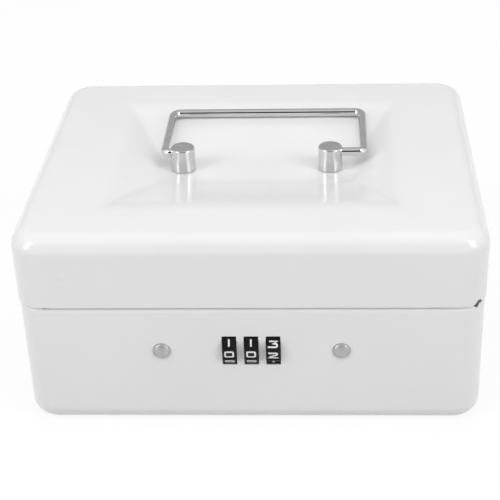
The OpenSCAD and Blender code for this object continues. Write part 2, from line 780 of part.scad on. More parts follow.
// Number wheels, numbered -1, 0 and 1 from left to right
module number_wheel(k, turn) {
    body_r = wheel_r - ridge_h;
    color(BLACK)
        translate([k * wheel_pitch - wheel_w / 2, wheel_y, lock_z])
            difference() {
                union() {
                    rotate([turn + digit_angle / 2, 0, 0])
                        rotate([0, 90, 0]) cylinder(r = body_r, h = wheel_w, $fn = 96);
                    for (i = [0 : digit_count - 1])
                        rotate([(i + 0.5) * digit_angle + turn, 0, 0])
                            translate([0, -wheel_r, -ridge_w / 2]) cube([wheel_w, 2 * ridge_h, ridge_w]);
                }
                rotate([turn, 0, 0])
                    rotate([0, 90, 0])
                        translate([0, 0, -cut])
                            cylinder(r = drive_r + drive_gap, h = drive_room + cut, $fn = digit_count);
                along_x(drive_room, 0, 0, counterbore_r, wheel_w + cut - drive_room);
            }
}

// Sleeve inside a number wheel: ten-sided drive, tube and flange with the gate
module cam_sleeve(k, turn) {
    gate_low = finger_low - lock_z - case_gap;
    color("#c9b26a")
        translate([k * wheel_pitch - wheel_w / 2, wheel_y, lock_z])
            difference() {
                union() {
                    along_x(-sleeve_left, 0, 0, sleeve_d / 2, sleeve_l);
                    translate([drive_start, 0, 0])
                        rotate([turn, 0, 0])
                            rotate([0, 90, 0]) cylinder(r = drive_r, h = drive_l, $fn = digit_count);
                    along_x(flange_x, 0, 0, flange_r, flange_t);
                }
                along_x(-sleeve_left - cut, 0, 0, shaft_d / 2 + shaft_fit, sleeve_l + 2 * cut);
                translate([flange_x - cut, -flange_r - cut, gate_low])
                    cube([flange_t + 2 * cut, flange_r + cut - gate_back, flange_r]);
            }
}

module wheel_shaft() {
    color(ZINC)
        along_x(left_rib_x - case_t, wheel_y, lock_z, shaft_d / 2, right_rib_x - left_rib_x + 2 * case_t);
}

// Strip under the wheels with a bump below each one
module wheel_detent_spring() {
    bump_l = wheel_w - 2 * bump_inset;
    color(ZINC) {
        translate([-wheel_pitch - wheel_w / 2, wheel_y - detent_l / 2, case_bottom_in])
            cube([2 * wheel_pitch + wheel_w, detent_l, detent_t]);
        for (k = [-1 : 1])
            translate([k * wheel_pitch - bump_l / 2, wheel_y, case_bottom_in + detent_t])
                intersection() {
                    along_x(0, 0, 0, bump_r, bump_l);
                    translate([0, -bump_r, 0]) cube([bump_l, 2 * bump_r, bump_r]);
                }
    }
}

// Lever with a fork at each end of the row of sleeves and a knob behind the case
module code_change_lever() {
    left_x = stack_left - sleeve_gap - lever_t;
    right_x = stack_right + sleeve_gap;
    bar_h = fork_h - 2 * bar_inset;
    slot_h = shaft_d + 2 * fork_shaft_gap;
    slot_l = cut + fork_front_l + shaft_d / 2 + fork_end_gap;
    color(ZINC) {
        difference() {
            for (x = [left_x, right_x])
                translate([x, fork_front, lock_z - fork_h / 2])
                    cube([lever_t, bar_back - fork_front, fork_h]);
            translate([left_x - cut, fork_front - cut, lock_z - slot_h / 2])
                cube([right_x - left_x + lever_t + 2 * cut, slot_l, slot_h]);
        }
        translate([left_x + lever_t, bar_back - lever_t, lock_z - bar_h / 2])
            cube([right_x - left_x - lever_t, lever_t, bar_h]);
        translate([-knob_w / 2 - code_shift / 2, bar_back, lock_z - knob_w / 2])
            cube([knob_w, knob_l, knob_w]);
    }
}

// Open-fronted housing behind the front wall, with bearing ribs and fixing ears
module lock_case() {
    outer_h = case_top_in - case_bottom_in + 2 * case_t;
    ear_low = lock_z - ear_h / 2;
    slot_w = knob_w + code_shift + 2 * case_gap;
    color(BLACK)
        difference() {
            union() {
                difference() {
                    translate([-case_w / 2 - case_t, front_in_y, case_bottom_in - case_t])
                        cube([case_w + 2 * case_t, case_l + case_t, outer_h]);
                    translate([-case_w / 2, front_in_y - cut, case_bottom_in])
                        cube([case_w, case_l + cut, case_top_in - case_bottom_in]);
                }
                for (x = [left_rib_x - case_t, right_rib_x])
                    translate([x, fork_front, case_bottom_in])
                        cube([case_t, case_back_in - fork_front, rib_top - case_bottom_in]);
                for (s = [-1, 1])
                    translate([s > 0 ? ear_x : -ear_x - ear_w, front_in_y, ear_low])
                        cube([ear_w, case_t, ear_h]);
            }
            for (s = [-1, 1]) {
                translate([s * catch_spacing / 2 - notch_w / 2, front_in_y - cut, case_top_in - cut])
                    cube([notch_w, cut + catch_front + catch_t + catch_back_gap - front_in_y,
                        case_t + 2 * cut]);
                along_y(s * stud_x, front_in_y - cut, lock_z, stud_d / 2 + screw_gap, case_t + 2 * cut);
            }
            along_x(left_rib_x - case_t - cut, wheel_y, lock_z, shaft_d / 2,
                right_rib_x - left_rib_x + 2 * case_t + 2 * cut);
            translate([-slot_w / 2, case_back_in - cut, lock_z - knob_w / 2 - case_gap])
                cube([slot_w, case_t + 2 * cut, knob_w + 2 * case_gap]);
        }
}

module lock_mount_studs() {
    color(ZINC)
        for (s = [-1, 1])
            along_y(s * stud_x, front_in_y, lock_z, stud_d / 2, case_t + nut_h + stud_out);
}

module lock_mount_nuts() {
    color(ZINC)
        for (s = [-1, 1])
            translate([s * stud_x, front_in_y + case_t, lock_z])
                rotate([-90, 0, 0])
                    difference() {
                        cylinder(d = nut_af / cos(30), h = nut_h, $fn = 6);
                        translate([0, 0, -cut]) cylinder(d = stud_d + thread_gap, h = nut_h + 2 * cut);
                    }
}

// Plate over the wheels: latch tongues, three fingers for the gates and two tabs for the buttons
module release_plate() {
    tongue_tip = catch_front + catch_t + tongue_gap;
    notch_back = tongue_tip + tongue_l;
    tab_low = lock_z - tab_drop;
    color(ZINC)
        difference() {
            union() {
                difference() {
                    translate([-plate_w / 2, plate_front, plate_z]) cube([plate_w, plate_l, plate_t]);
                    for (s = [-1, 1])
                        translate([s * catch_spacing / 2 - notch_w / 2, plate_front - cut, plate_z - cut])
                            cube([notch_w, notch_back - plate_front + cut, plate_t + 2 * cut]);
                }
                for (s = [-1, 1]) {
                    translate([s * catch_spacing / 2 - tongue_w / 2, tongue_tip, plate_z])
                        cube([tongue_w, notch_back - tongue_tip + cut, plate_t]);
                    translate([s * button_spacing / 2 - tab_w / 2, tab_y, tab_low])
                        cube([tab_w, plate_t, plate_z - tab_low + plate_t / 2]);
                }
                for (k = [-1 : 1])
                    translate([k * wheel_pitch - wheel_w / 2 + flange_x - (finger_w - flange_t) / 2,
                        plate_front, finger_low])
                        cube([finger_w, finger_back - plate_front, plate_z - finger_low + plate_t / 2]);
            }
            for (s = [-1, 1])
                along_y(s * button_spacing / 2, tab_y - cut, lock_z,
                    stem_d / 2 - stem_step, plate_t + 2 * cut);
        }
}

module push_button(side) {
    collar_y = front_in_y + collar_gap;
    rim_front = front_out_y - button_out + button_boss_h;
    color(CHROME)
        translate([side * button_spacing / 2, 0, lock_z]) {
            along_y(0, front_out_y - button_out, 0, button_boss_d / 2, button_boss_h);
            along_y(0, rim_front, 0, button_d / 2, collar_y - rim_front);
            along_y(0, collar_y, 0, button_d / 2 + collar_w, collar_t);
            along_y(0, collar_y + collar_t, 0, stem_d / 2, tab_y - collar_y - collar_t);
            along_y(0, tab_y, 0, stem_d / 2 - stem_step, plate_t + stem_out);
        }
}

// Return spring between the tab and the back of the case, as a plain tube
module button_spring(side) {
    spring_start = tab_y + plate_t;
    color(ZINC)
        difference() {
            along_y(side * button_spacing / 2, spring_start, lock_z, spring_d / 2,
                case_back_in - case_gap - release_travel - spring_start);
            along_y(side * button_spacing / 2, spring_start - cut, lock_z,
                spring_d / 2 - spring_wire, case_l);
        }
}

module tray_ledge(side) {
    color(STEEL)
        mirror([side > 0 ? 0 : 1, 0, 0]) {
            translate([side_in_x - sheet_t, tray_mid_y - ledge_l / 2, ledge_z - ledge_leg_h])
                cube([sheet_t, ledge_l, ledge_leg_h]);
            translate([side_in_x - ledge_w, tray_mid_y - ledge_l / 2, ledge_z - sheet_t])
                cube([ledge_w - sheet_t, ledge_l, sheet_t]);
        }
}

// Upright block with rounded corners, standing on z and centred on y
module rounded_block(wide, long, high, r, z) {
    translate([0, 0, z])
        linear_extrude(high) {
            square([wide - 2 * r, long], center = true);
            square([wide, long - 2 * r], center = true);
            for (x = [-1, 1], y = [-1, 1])
                translate([x * (wide / 2 - r), y * (long / 2 - r)]) circle(r = r);
        }
}

module coin_tray() {
    floor_z = tray_bottom + tray_wall;
    front_y = -tray_l / 2;
    color(BLACK)
        translate([0, tray_mid_y, 0])
            difference() {
                union() {
                    rounded_block(tray_w, tray_l, tray_h, tray_r, tray_bottom);
                    rounded_block(2 * (side_in_x - tray_flange_gap), tray_l, flange_h,
                        base_corner_r, ledge_z);
                }
                for (i = [0 : cup_count - 1])
                    translate([-tray_w / 2 + tray_wall + cup_w / 2 + i * (cup_w + tray_wall),
                        front_y + tray_wall + cup_l / 2, 0])
                        rounded_block(cup_w, cup_l, tray_h + cut, cup_r, floor_z);
                translate([0, front_y + 2 * tray_wall + cup_l + notes_l / 2, 0])
                    rounded_block(tray_w - 2 * tray_wall, notes_l, tray_h + cut, cup_r, floor_z);
            }
}

base_shell();
lock_case();
lock_mount_studs();
lock_mount_nuts();
wheel_shaft();
wheel_detent_spring();
tray_ledge(-1);  // tray_ledge_left
tray_ledge(1);  // tray_ledge_right
base_hinge_leaf(-1);  // base_hinge_leaf_left
base_hinge_leaf(1);  // base_hinge_leaf_right
hinge_pin(-1);  // hinge_pin_left
hinge_pin(1);  // hinge_pin_right
base_hinge_rivets();
lid_shell();
lid_hinge_leaf(-1);  // lid_hinge_leaf_left
lid_hinge_leaf(1);  // lid_hinge_leaf_right
lid_hinge_rivets();
lid_catch(-1);  // lid_catch_left
lid_catch(1);  // lid_catch_right
handle_post(-1);  // handle_post_left
handle_post(1);  // handle_post_right
handle_screws();
handle_washers();
handle_bail();
number_wheel(-1, wheel_turn);  // number_wheel_left
number_wheel(0, wheel_turn);  // number_wheel_middle
number_wheel(1, right_wheel_turn);  // number_wheel_right
cam_sleeve(-1, wheel_turn);  // cam_sleeve_left
cam_sleeve(0, wheel_turn);  // cam_sleeve_middle
cam_sleeve(1, right_wheel_turn);  // cam_sleeve_right
code_change_lever();
release_plate();
push_button(-1);  // push_button_left
push_button(1);  // push_button_right
button_spring(-1);  // button_spring_left
button_spring(1);  // button_spring_right
coin_tray();
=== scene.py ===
import math

import bmesh
import bpy
import numpy as np
from mathutils import Matrix, Vector


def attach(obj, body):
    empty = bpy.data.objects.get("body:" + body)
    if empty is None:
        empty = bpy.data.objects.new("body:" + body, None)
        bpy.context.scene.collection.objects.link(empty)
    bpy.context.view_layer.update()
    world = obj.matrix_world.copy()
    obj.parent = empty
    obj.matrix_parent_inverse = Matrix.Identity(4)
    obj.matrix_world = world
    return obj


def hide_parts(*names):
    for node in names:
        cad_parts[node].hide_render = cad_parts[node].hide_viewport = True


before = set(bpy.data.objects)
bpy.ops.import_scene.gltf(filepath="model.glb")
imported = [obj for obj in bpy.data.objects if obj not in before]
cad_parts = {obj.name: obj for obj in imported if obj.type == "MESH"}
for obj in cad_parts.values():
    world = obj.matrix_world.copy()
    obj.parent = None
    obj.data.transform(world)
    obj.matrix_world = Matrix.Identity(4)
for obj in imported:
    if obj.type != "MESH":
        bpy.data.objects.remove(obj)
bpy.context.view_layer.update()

scene = bpy.context.scene

# Sizes in millimetres and angles in degrees
MM = 0.001
SHEET = 0.8
MERGE_DISTANCE = 0.002
FLAT_ANGLE = 0.5
LEAST_RADIUS = 0.05
CORNER_STEPS = 14
BEND_STEPS = 12
ARC_STEPS = 14
SHARP_ANGLE = 32
BEND_LEAD = 1.0
CUTTER_REACH = 2.0
CUT_EDGE = 0.12

LID_HALF = (100.0, 83.0)
LID_CORNER = 13.0
LID_LOW = 60.4
LID_TOP = 93.0
LID_BEND = 7.3
LID_FLAT_MARGIN = 0.7
LID_EDGE = 0.15

BASE_HALF = (99.4, 82.4)
BASE_CORNER = 12.4
BASE_BEND = 8.0
BASE_FLOOR_MARGIN = 0.6
RIM_START = 57.2
RIM_TOP = 65.4
RIM_INSET = 1.2
RIM_BEND = 5.0
RIM_LEAD = 0.5

RECESS_FLOOR = 84.0
RECESS_FLOOR_HALF = (46.0, 13.5)
RECESS_SLOPE_X = 0.5
RECESS_SLOPE_Y = 0.2338
RECESS_GRID_HALF = (75.0, 63.0)
RECESS_GRID_STEP = 1.25
VALLEY_SOFTNESS = 0.6
BEND_SOFTNESS = 1.3

LOCK_Z = 38.4
WHEEL_Y = -76.25
WHEEL_PITCH = 9.4
WHEEL_WIDTH = 5.7
WHEEL_BODY_R = 8.5
WHEEL_BORE_R = 5.4
WHEEL_EDGE = 0.25
RIDGE_WIDTH = 0.7
RIDGE_HEIGHT = 0.28
RIDGE_ROOT = 0.4
RIDGE_EDGE = 0.18
DIGITS = 10
DIGIT_ANGLE = 36.0
WHEEL_TURNS = {"left": 2.5, "middle": 2.5, "right": 6.5}
WHEEL_SHOWN = {"left": 0, "middle": 0, "right": 2}
WINDOW = (6.2, 14.57)

BUTTON_X = 38.5
BUTTON_SIDES = 72
BUTTON_FACE = -84.0
BUTTON_R = 3.7
BUTTON_HOLE_R = 3.74
COLLAR_FRONT = -81.5
COLLAR_BACK = -80.7
COLLAR_R = 4.7
STEM_R = 2.0
STEM_TIP_R = 1.5
STEM_SHOULDER = -77.5
STEM_END = -75.5

POST_X = 34.0
POST_R = 5.5
POST_TOP = 95.4
POST_FOOT_EDGE = 0.6
POST_ROUND = 0.8
POST_ROUND_STEPS = 5
PIVOT_Z = 92.4
HOLE_BOTTOM_X = 35.0

WIRE_R = 2.0
WIRE_HOLE_R = 2.1
WIRE_ENDS = (-30.0, 37.0)
WIRE_ARMS = (-42.5, 49.5)
WIRE_GRIP = 42.4
WIRE_STUB_BEND = 3.0
WIRE_GRIP_BEND = 4.0
WIRE_RISE = 0.83

HINGE_X = 60.0
RIVET_SPACING = 14.0
RIVET_HEAD_R = 2.2
RIVET_HEAD_H = 0.9
RIVET_SHANK_R = 1.5
RIVET_ROUND_STEPS = 5
BASE_RIVET_Z = 50.6
LID_RIVET_Z = 71.65
LEAF_THICKNESS = 1.0


# Mesh helpers
def link(name, mesh):
    piece = bpy.data.objects.new(name, mesh)
    scene.collection.objects.link(piece)
    return piece


def mesh_piece(name, points, faces):
    mesh = bpy.data.meshes.new(name)
    mesh.from_pydata([tuple(MM * c for c in p) for p in points], [], faces)
    mesh.validate()
    mesh.update()
    return link(name, mesh)


def rounded_loop(half, inset, corner, z):
    """Points of a rounded rectangle drawn in by inset, anticlockwise from above."""
    half_x, half_y, radius = half[0] - inset, half[1] - inset, max(corner - inset, LEAST_RADIUS)
    points = []
    for quarter, (side_x, side_y) in enumerate(((1, 1), (-1, 1), (-1, -1), (1, -1))):
        for step in range(CORNER_STEPS + 1):
            angle = math.pi / 2 * (quarter + step / CORNER_STEPS)
            x = side_x * (half_x - radius) + radius * math.cos(angle)
            y = side_y * (half_y - radius) + radius * math.sin(angle)
            points.append((x, y, z))
    return points


def skin_loops(loops):
    """Faces between loops of equal length whose points follow each other from number 0."""
    faces = []
    count = len(loops[0])
    for row in range(len(loops) - 1):
        low, high = row * count, (row + 1) * count
        for i in range(count):
            j = (i + 1) % count
            faces.append((low + i, low + j, high + j, high + i))
    return faces


def ring_angle(point):
    return math.atan2(point[1], point[0]) % (2 * math.pi)


def join_flat_rings(points, outer, inner):
    """Triangles on the flat between two rings of point numbers, both anticlockwise."""

    def from_lowest_angle(ring):
        first = min(range(len(ring)), key=lambda i: ring_angle(points[ring[i]]))
        turned = ring[first:] + ring[:first]
        angles = [ring_angle(points[i]) for i in turned]
        return turned + turned[:1], angles + [angles[0] + 2 * math.pi]

    ring_a, angle_a = from_lowest_angle(outer)
    ring_b, angle_b = from_lowest_angle(inner)
    faces = []
    i = j = 0
    while i < len(outer) or j < len(inner):
        step_outer = j == len(inner) or (i < len(outer) and angle_a[i + 1] <= angle_b[j + 1])
        if step_outer:
            faces.append((ring_a[i], ring_a[i + 1], ring_b[j]))
            i += 1
        else:
            faces.append((ring_b[j + 1], ring_b[j], ring_a[i]))
            j += 1
    return faces


def lathe(name, profile, centre, axis, segments):
    """A turned piece from (distance along the axis, radius); one that starts off the axis is a ring."""
    frames = {
        "x": (Vector((1, 0, 0)), Vector((0, 1, 0)), Vector((0, 0, 1))),
        "y": (Vector((0, 1, 0)), Vector((0, 0, 1)), Vector((1, 0, 0))),
        "z": (Vector((0, 0, 1)), Vector((1, 0, 0)), Vector((0, 1, 0))),
    }
    along, first, second = frames[axis]
    origin = Vector(centre)
    points, faces, rings = [], [], []
    for distance, radius in profile:
        if radius == 0:
            rings.append([len(points)])
            points.append(tuple(origin + along * distance))
            continue
        ring = []
        for i in range(segments):
            angle = 2 * math.pi * i / segments
            ring.append(len(points))
            offset = first * (radius * math.cos(angle)) + second * (radius * math.sin(angle))
            points.append(tuple(origin + along * distance + offset))
        rings.append(ring)
    pairs = list(zip(rings, rings[1:]))
    if len(rings[0]) > 1:
        pairs.append((rings[-1], rings[0]))
    for a, b in pairs:
        for i in range(segments):
            j = (i + 1) % segments
            if len(a) == 1:
                faces.append((a[0], b[j], b[i]))
            elif len(b) == 1:
                faces.append((a[i], a[j], b[0]))
            else:
                faces.append((a[i], a[j], b[j], b[i]))
    return mesh_piece(name, points, faces)


def sweep(name, path, side, radius, segments):
    """A round wire along a flat path; side is the direction square to the path's plane."""
    points, faces = [], []
    count = len(path)
    side = Vector(side).normalized()
    for k, point in enumerate(path):
        ahead, behind = Vector(path[min(k + 1, count - 1)]), Vector(path[max(k - 1, 0)])
        across = (ahead - behind).normalized().cross(side)
        for i in range(segments):
            angle = 2 * math.pi * i / segments
            offset = across * (radius * math.cos(angle)) + side * (radius * math.sin(angle))
            points.append(tuple(Vector(point) + offset))
    for k in range(count - 1):
        for i in range(segments):
            j = (i + 1) % segments
            a, b = k * segments, (k + 1) * segments
            faces.append((a + j, a + i, b + i, b + j))
    faces.append(tuple(range(segments)))
    faces.append(tuple(range((count - 1) * segments, count * segments))[::-1])
    return mesh_piece(name, points, faces)


def bake(piece):
    """Turns the piece's modifiers into plain mesh."""
    evaluated = piece.evaluated_get(bpy.context.evaluated_depsgraph_get())
    mesh = bpy.data.meshes.new_from_object(evaluated)
    piece.modifiers.clear()
    piece.data = mesh
    return piece


def add_solidify(piece, thickness):
    solid = piece.modifiers.new("wall", "SOLIDIFY")
    solid.thickness = thickness * MM
    solid.offset = -1
    solid.use_even_offset = True
    solid.use_quality_normals = True


def add_bevel(piece, width, angle=50, steps=2):
    bevel = piece.modifiers.new("soft edges", "BEVEL")
    bevel.width = width * MM
    bevel.segments = steps
    bevel.limit_method = "ANGLE"
    bevel.angle_limit = math.radians(angle)
    bevel.harden_normals = False
    bevel.use_clamp_overlap = True


def cut_with(piece, cutters):
    for cutter in cutters:
        cut = piece.modifiers.new("cut", "BOOLEAN")
        cut.operation = "DIFFERENCE"
        cut.solver = "EXACT"
        cut.object = cutter
    bake(piece)
    for cutter in cutters:
        bpy.data.objects.remove(cutter)


def join(piece, *others):
    """Adds the other pieces' meshes to the first one."""
    whole = bmesh.new()
    whole.from_mesh(piece.data)
    for other in others:
        whole.from_mesh(other.data)
        bpy.data.objects.remove(other)
    whole.to_mesh(piece.data)
    whole.free()
    return piece


def tidy_mesh(mesh, sharp_angle, outward=True):
    work = bmesh.new()
    work.from_mesh(mesh)
    bmesh.ops.remove_doubles(work, verts=work.verts, dist=MERGE_DISTANCE * MM)
    if outward:
        bmesh.ops.recalc_face_normals(work, faces=work.faces)
    work.to_mesh(mesh)
    work.free()
    mesh.polygons.foreach_set("use_smooth", [True] * len(mesh.polygons))
    mesh.set_sharp_from_angle(angle=math.radians(sharp_angle))
    mesh.update()


def dress(piece, body, slot, material, *nodes, sharp_angle=SHARP_ANGLE):
    """Last step of a piece: smooth shading, material, and its place in the frame."""
    tidy_mesh(piece.data, sharp_angle)
    even = piece.modifiers.new("even shading", "WEIGHTED_NORMAL")
    even.keep_sharp = True
    bake(piece)
    piece.data.materials.clear()
    piece.data.materials.append(material)
    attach(piece, body)
    if nodes:
        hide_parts(*nodes)
    return piece


def plain_box(name, low, high):
    corners = [(x, y, z) for z in (low[2], high[2]) for y in (low[1], high[1]) for x in (low[0], high[0])]
    faces = [(0, 2, 3, 1), (4, 5, 7, 6), (0, 1, 5, 4), (2, 6, 7, 3), (0, 4, 6, 2), (1, 3, 7, 5)]
    return mesh_piece(name, corners, faces)


# Node helpers
NUMBER, COLOUR, VECTOR = "NodeSocketFloat", "NodeSocketColor", "NodeSocketVector"
NOISE_LOW, NOISE_HIGH = 0.35, 0.65
SPOT_RAGGEDNESS = 0.4
SPOT_EDGE_OUT, SPOT_EDGE_IN = 1.30, 1.15

# Places of a Mix node's colour sockets, whose names its other sockets have too
MIX_SHARE, MIX_FIRST, MIX_SECOND, MIX_RESULT = 0, 6, 7, 2


def feed(tree, socket, value):
    """Links a socket to another one, or gives it a plain value."""
    if isinstance(value, bpy.types.NodeSocket):
        tree.links.new(value, socket)
    else:
        socket.default_value = value


def add_node(tree, kind, settings=None, **values):
    node = tree.nodes.new(kind)
    for key, value in (settings or {}).items():
        setattr(node, key, value)
    for key, value in values.items():
        feed(tree, node.inputs[key.replace("_", " ")], value)
    return node


def add_math(tree, operation, *values):
    node = add_node(tree, "ShaderNodeMath", {"operation": operation})
    for socket, value in zip(node.inputs, values):
        feed(tree, socket, value)
    return node.outputs[0]


def map_range(tree, value, low, high, new_low=0.0, new_high=1.0):
    """Maps low to high onto new_low to new_high, and what lies outside onto its ends."""
    node = add_node(tree, "ShaderNodeMapRange", Value=value, From_Min=low, From_Max=high)
    feed(tree, node.inputs["To Min"], new_low)
    feed(tree, node.inputs["To Max"], new_high)
    return node.outputs[0]


def mix_colours(tree, share, first, second):
    node = add_node(tree, "ShaderNodeMix", {"data_type": "RGBA"})
    for place, value in ((MIX_SHARE, share), (MIX_FIRST, first), (MIX_SECOND, second)):
        feed(tree, node.inputs[place], value)
    return node.outputs[MIX_RESULT]


def noise_at(tree, size, detail):
    """Noise whose blotches measure about size millimetres."""
    place = tree.nodes.new("ShaderNodeTexCoord").outputs["Object"]
    scale = add_math(tree, "DIVIDE", 1 / MM, size)
    return add_node(tree, "ShaderNodeTexNoise", Vector=place, Scale=scale, Detail=detail).outputs[0]


def new_group(name, inputs, output, kind="ShaderNodeTree"):
    """A node group with inputs (name: kind and default value) and one output (name, kind)."""
    tree = bpy.data.node_groups.new(name, kind)
    for label, (socket_kind, default) in inputs.items():
        socket = tree.interface.new_socket(name=label, in_out="INPUT", socket_type=socket_kind)
        if default is not None:
            socket.default_value = default
    tree.interface.new_socket(name=output[0], in_out="OUTPUT", socket_type=output[1])
    return tree, tree.nodes.new("NodeGroupInput").outputs, tree.nodes.new("NodeGroupOutput").inputs


def grey(value, tint=(1.0, 1.0, 1.0)):
    return (value * tint[0], value * tint[1], value * tint[2], 1)


def build_mottle_group():
    inputs = {"Light": (COLOUR, grey(0.5)), "Dark": (COLOUR, grey(0.5)), "Size": (NUMBER, 20.0)}
    tree, given, result = new_group("uneven colour", inputs, ("Color", COLOUR))
    share = map_range(tree, noise_at(tree, given["Size"], 3.0), NOISE_LOW, NOISE_HIGH)
    tree.links.new(mix_colours(tree, share, given["Dark"], given["Light"]), result[0])
    return tree


def build_spread_group():
    inputs = {"Low": (NUMBER, 0.1), "High": (NUMBER, 0.2), "Size": (NUMBER, 10.0)}
    tree, given, result = new_group("uneven gloss", inputs, ("Value", NUMBER))
    noise = noise_at(tree, given["Size"], 4.0)
    rough = map_range(tree, noise, NOISE_LOW, NOISE_HIGH, given["Low"], given["High"])
    tree.links.new(rough, result[0])
    return tree


def build_grain_group():
    inputs = {"Fine": (NUMBER, 1.0), "Broad": (NUMBER, 20.0), "Broad share": (NUMBER, 0.5)}
    tree, given, result = new_group("surface grain", inputs, ("Height", NUMBER))
    fine = noise_at(tree, given["Fine"], 2.0)
    broad = add_math(tree, "MULTIPLY", noise_at(tree, given["Broad"], 1.0), given["Broad share"])
    tree.links.new(add_math(tree, "ADD", fine, broad), result[0])
    return tree


def build_spot_group():
    """1 inside a small stretched spot with a ragged edge, and 0 away from it; places are in metres."""
    inputs = {
        "Centre": (VECTOR, (0, 0, 0)),
        "Turn": (VECTOR, (0, 0, 0)),
        "Half size": (VECTOR, (MM, MM, MM)),
        "Ragged": (NUMBER, 0.8),
    }
    tree, given, result = new_group("dark spot", inputs, ("Mask", NUMBER))
    inside = add_node(
        tree,
        "ShaderNodeMapping",
        {"vector_type": "TEXTURE"},
        Vector=tree.nodes.new("ShaderNodeTexCoord").outputs["Object"],
        Location=given["Centre"],
        Rotation=given["Turn"],
        Scale=given["Half size"],
    )
    reach = add_node(tree, "ShaderNodeVectorMath", {"operation": "LENGTH"}, Vector=inside.outputs[0])
    noise = noise_at(tree, given["Ragged"], 2.0)
    ragged = add_math(tree, "MULTIPLY_ADD", noise, SPOT_RAGGEDNESS, reach.outputs["Value"])
    tree.links.new(map_range(tree, ragged, SPOT_EDGE_OUT, SPOT_EDGE_IN), result[0])
    return tree


MOTTLE = build_mottle_group()
SPREAD = build_spread_group()
GRAIN = build_grain_group()
SPOT = build_spot_group()


def use_group(tree, group, **values):
    node = tree.nodes.new("ShaderNodeGroup")
    node.node_tree = group
    for key, value in values.items():
        node.inputs[key.replace("_", " ")].default_value = value
    return node


def surface(name, light, dark, patch, gloss, gloss_patch, grain, depth, **shader_values):
    """A finish: light and dark colour in patches, lowest and highest roughness in patches, and a grain

    of fine size, broad size and share of the broad one. Patches, grain sizes and depth are millimetres.
    """
    material = bpy.data.materials.new(name)
    material.use_nodes = True
    tree = material.node_tree
    shader = tree.nodes["Principled BSDF"]
    colours = use_group(tree, MOTTLE, Light=light, Dark=dark, Size=patch)
    tree.links.new(colours.outputs[0], shader.inputs["Base Color"])
    rough = use_group(tree, SPREAD, Low=gloss[0], High=gloss[1], Size=gloss_patch)
    tree.links.new(rough.outputs[0], shader.inputs["Roughness"])
    height = use_group(tree, GRAIN, Fine=grain[0], Broad=grain[1], Broad_share=grain[2])
    bump = add_node(tree, "ShaderNodeBump", Height=height.outputs[0], Strength=1.0, Distance=depth * MM)
    tree.links.new(bump.outputs[0], shader.inputs["Normal"])
    for key, value in shader_values.items():
        shader.inputs[key.replace("_", " ")].default_value = value
    return material


WHITE_ENAMEL = surface(
    "white powder coat", grey(0.80), grey(0.785), 45, (0.13, 0.17), 25, (1.7, 30, 4.0), 0.0035,
    Coat_Weight=0.12, Coat_Roughness=0.08,
)


# Spots on the enamel: a near-black one across the lid-base seam at the right front corner, where the
# seam's dark line thickens; a dark grey one across the seam at the left front corner; and a faint mark on
# the lid's front. Columns: spot colour, centre, turn and half size
DARK_SPOTS = [
    (grey(0.05), (95.8, -79.6, 60.15), (0, -36.5, 45), (2.1, 2.4, 1.8)),
    (grey(0.30), (-86.9, -83.0, 60.1), (0, 0, 0), (1.6, 1.5, 0.60)),
    (grey(0.68), (-79.0, -83.0, 74.6), (0, 0, 0), (0.8, 1.0, 0.22)),
]


# Mixes a spot's colour into the enamel inside the spot's mask; the two seam spots darken the seam line at
# the front corners
def add_dark_spot(material, spot_colour, centre, turn, half_size):
    tree = material.node_tree
    shader = tree.nodes["Principled BSDF"]
    painted = shader.inputs["Base Color"].links[0].from_socket
    spot = use_group(
        tree,
        SPOT,
        Centre=[c * MM for c in centre],
        Turn=[math.radians(a) for a in turn],
        Half_size=[c * MM for c in half_size],
    )
    tree.links.new(mix_colours(tree, spot.outputs[0], painted, spot_colour), shader.inputs["Base Color"])


for dark_spot_row in DARK_SPOTS:
    add_dark_spot(WHITE_ENAMEL, *dark_spot_row)

CHROME = surface(
    "bright chrome", grey(0.70, (0.99, 1.0, 1.0)), grey(0.66), 6, (0.04, 0.08), 3, (0.5, 8, 3.0), 0.0006,
    Metallic=1.0,
)
TURNED_CHROME = surface(
    "turned chrome", grey(0.68), grey(0.62), 4, (0.16, 0.24), 2, (0.4, 6, 1.0), 0.0015, Metallic=1.0,
)
BUTTON_CHROME = surface(
    "satin chrome", grey(0.50), grey(0.43), 2.5, (0.44, 0.54), 1.5, (0.5, 3, 1.0), 0.003, Metallic=1.0,
)
ZINC = surface(
    "zinc plate", grey(0.62, (1.0, 1.0, 0.97)), grey(0.50, (1.0, 1.0, 0.98)), 3.5, (0.28, 0.42), 5,
    (0.6, 6, 1.0), 0.003, Metallic=1.0,
)
BRASS = surface(
    "drawn brass", (0.66, 0.47, 0.20, 1), (0.58, 0.40, 0.16, 1), 3, (0.22, 0.34), 3, (0.5, 4, 1.0), 0.002,
    Metallic=1.0,
)
WHEEL_BLACK = surface(
    "black wheel plastic", grey(0.010), grey(0.006), 4, (0.34, 0.46), 3, (0.35, 4, 1.0), 0.003,
    Specular_IOR_Level=0.15,
)
DIGIT_WHITE = surface(
    "white digit paint", grey(0.80), grey(0.70), 1.2, (0.40, 0.55), 2, (0.25, 2, 1.0), 0.004,
)
TRAY_BLACK = surface(
    "black tray plastic", grey(0.022), grey(0.015), 18, (0.42, 0.55), 12, (0.55, 20, 0.6), 0.02,
)


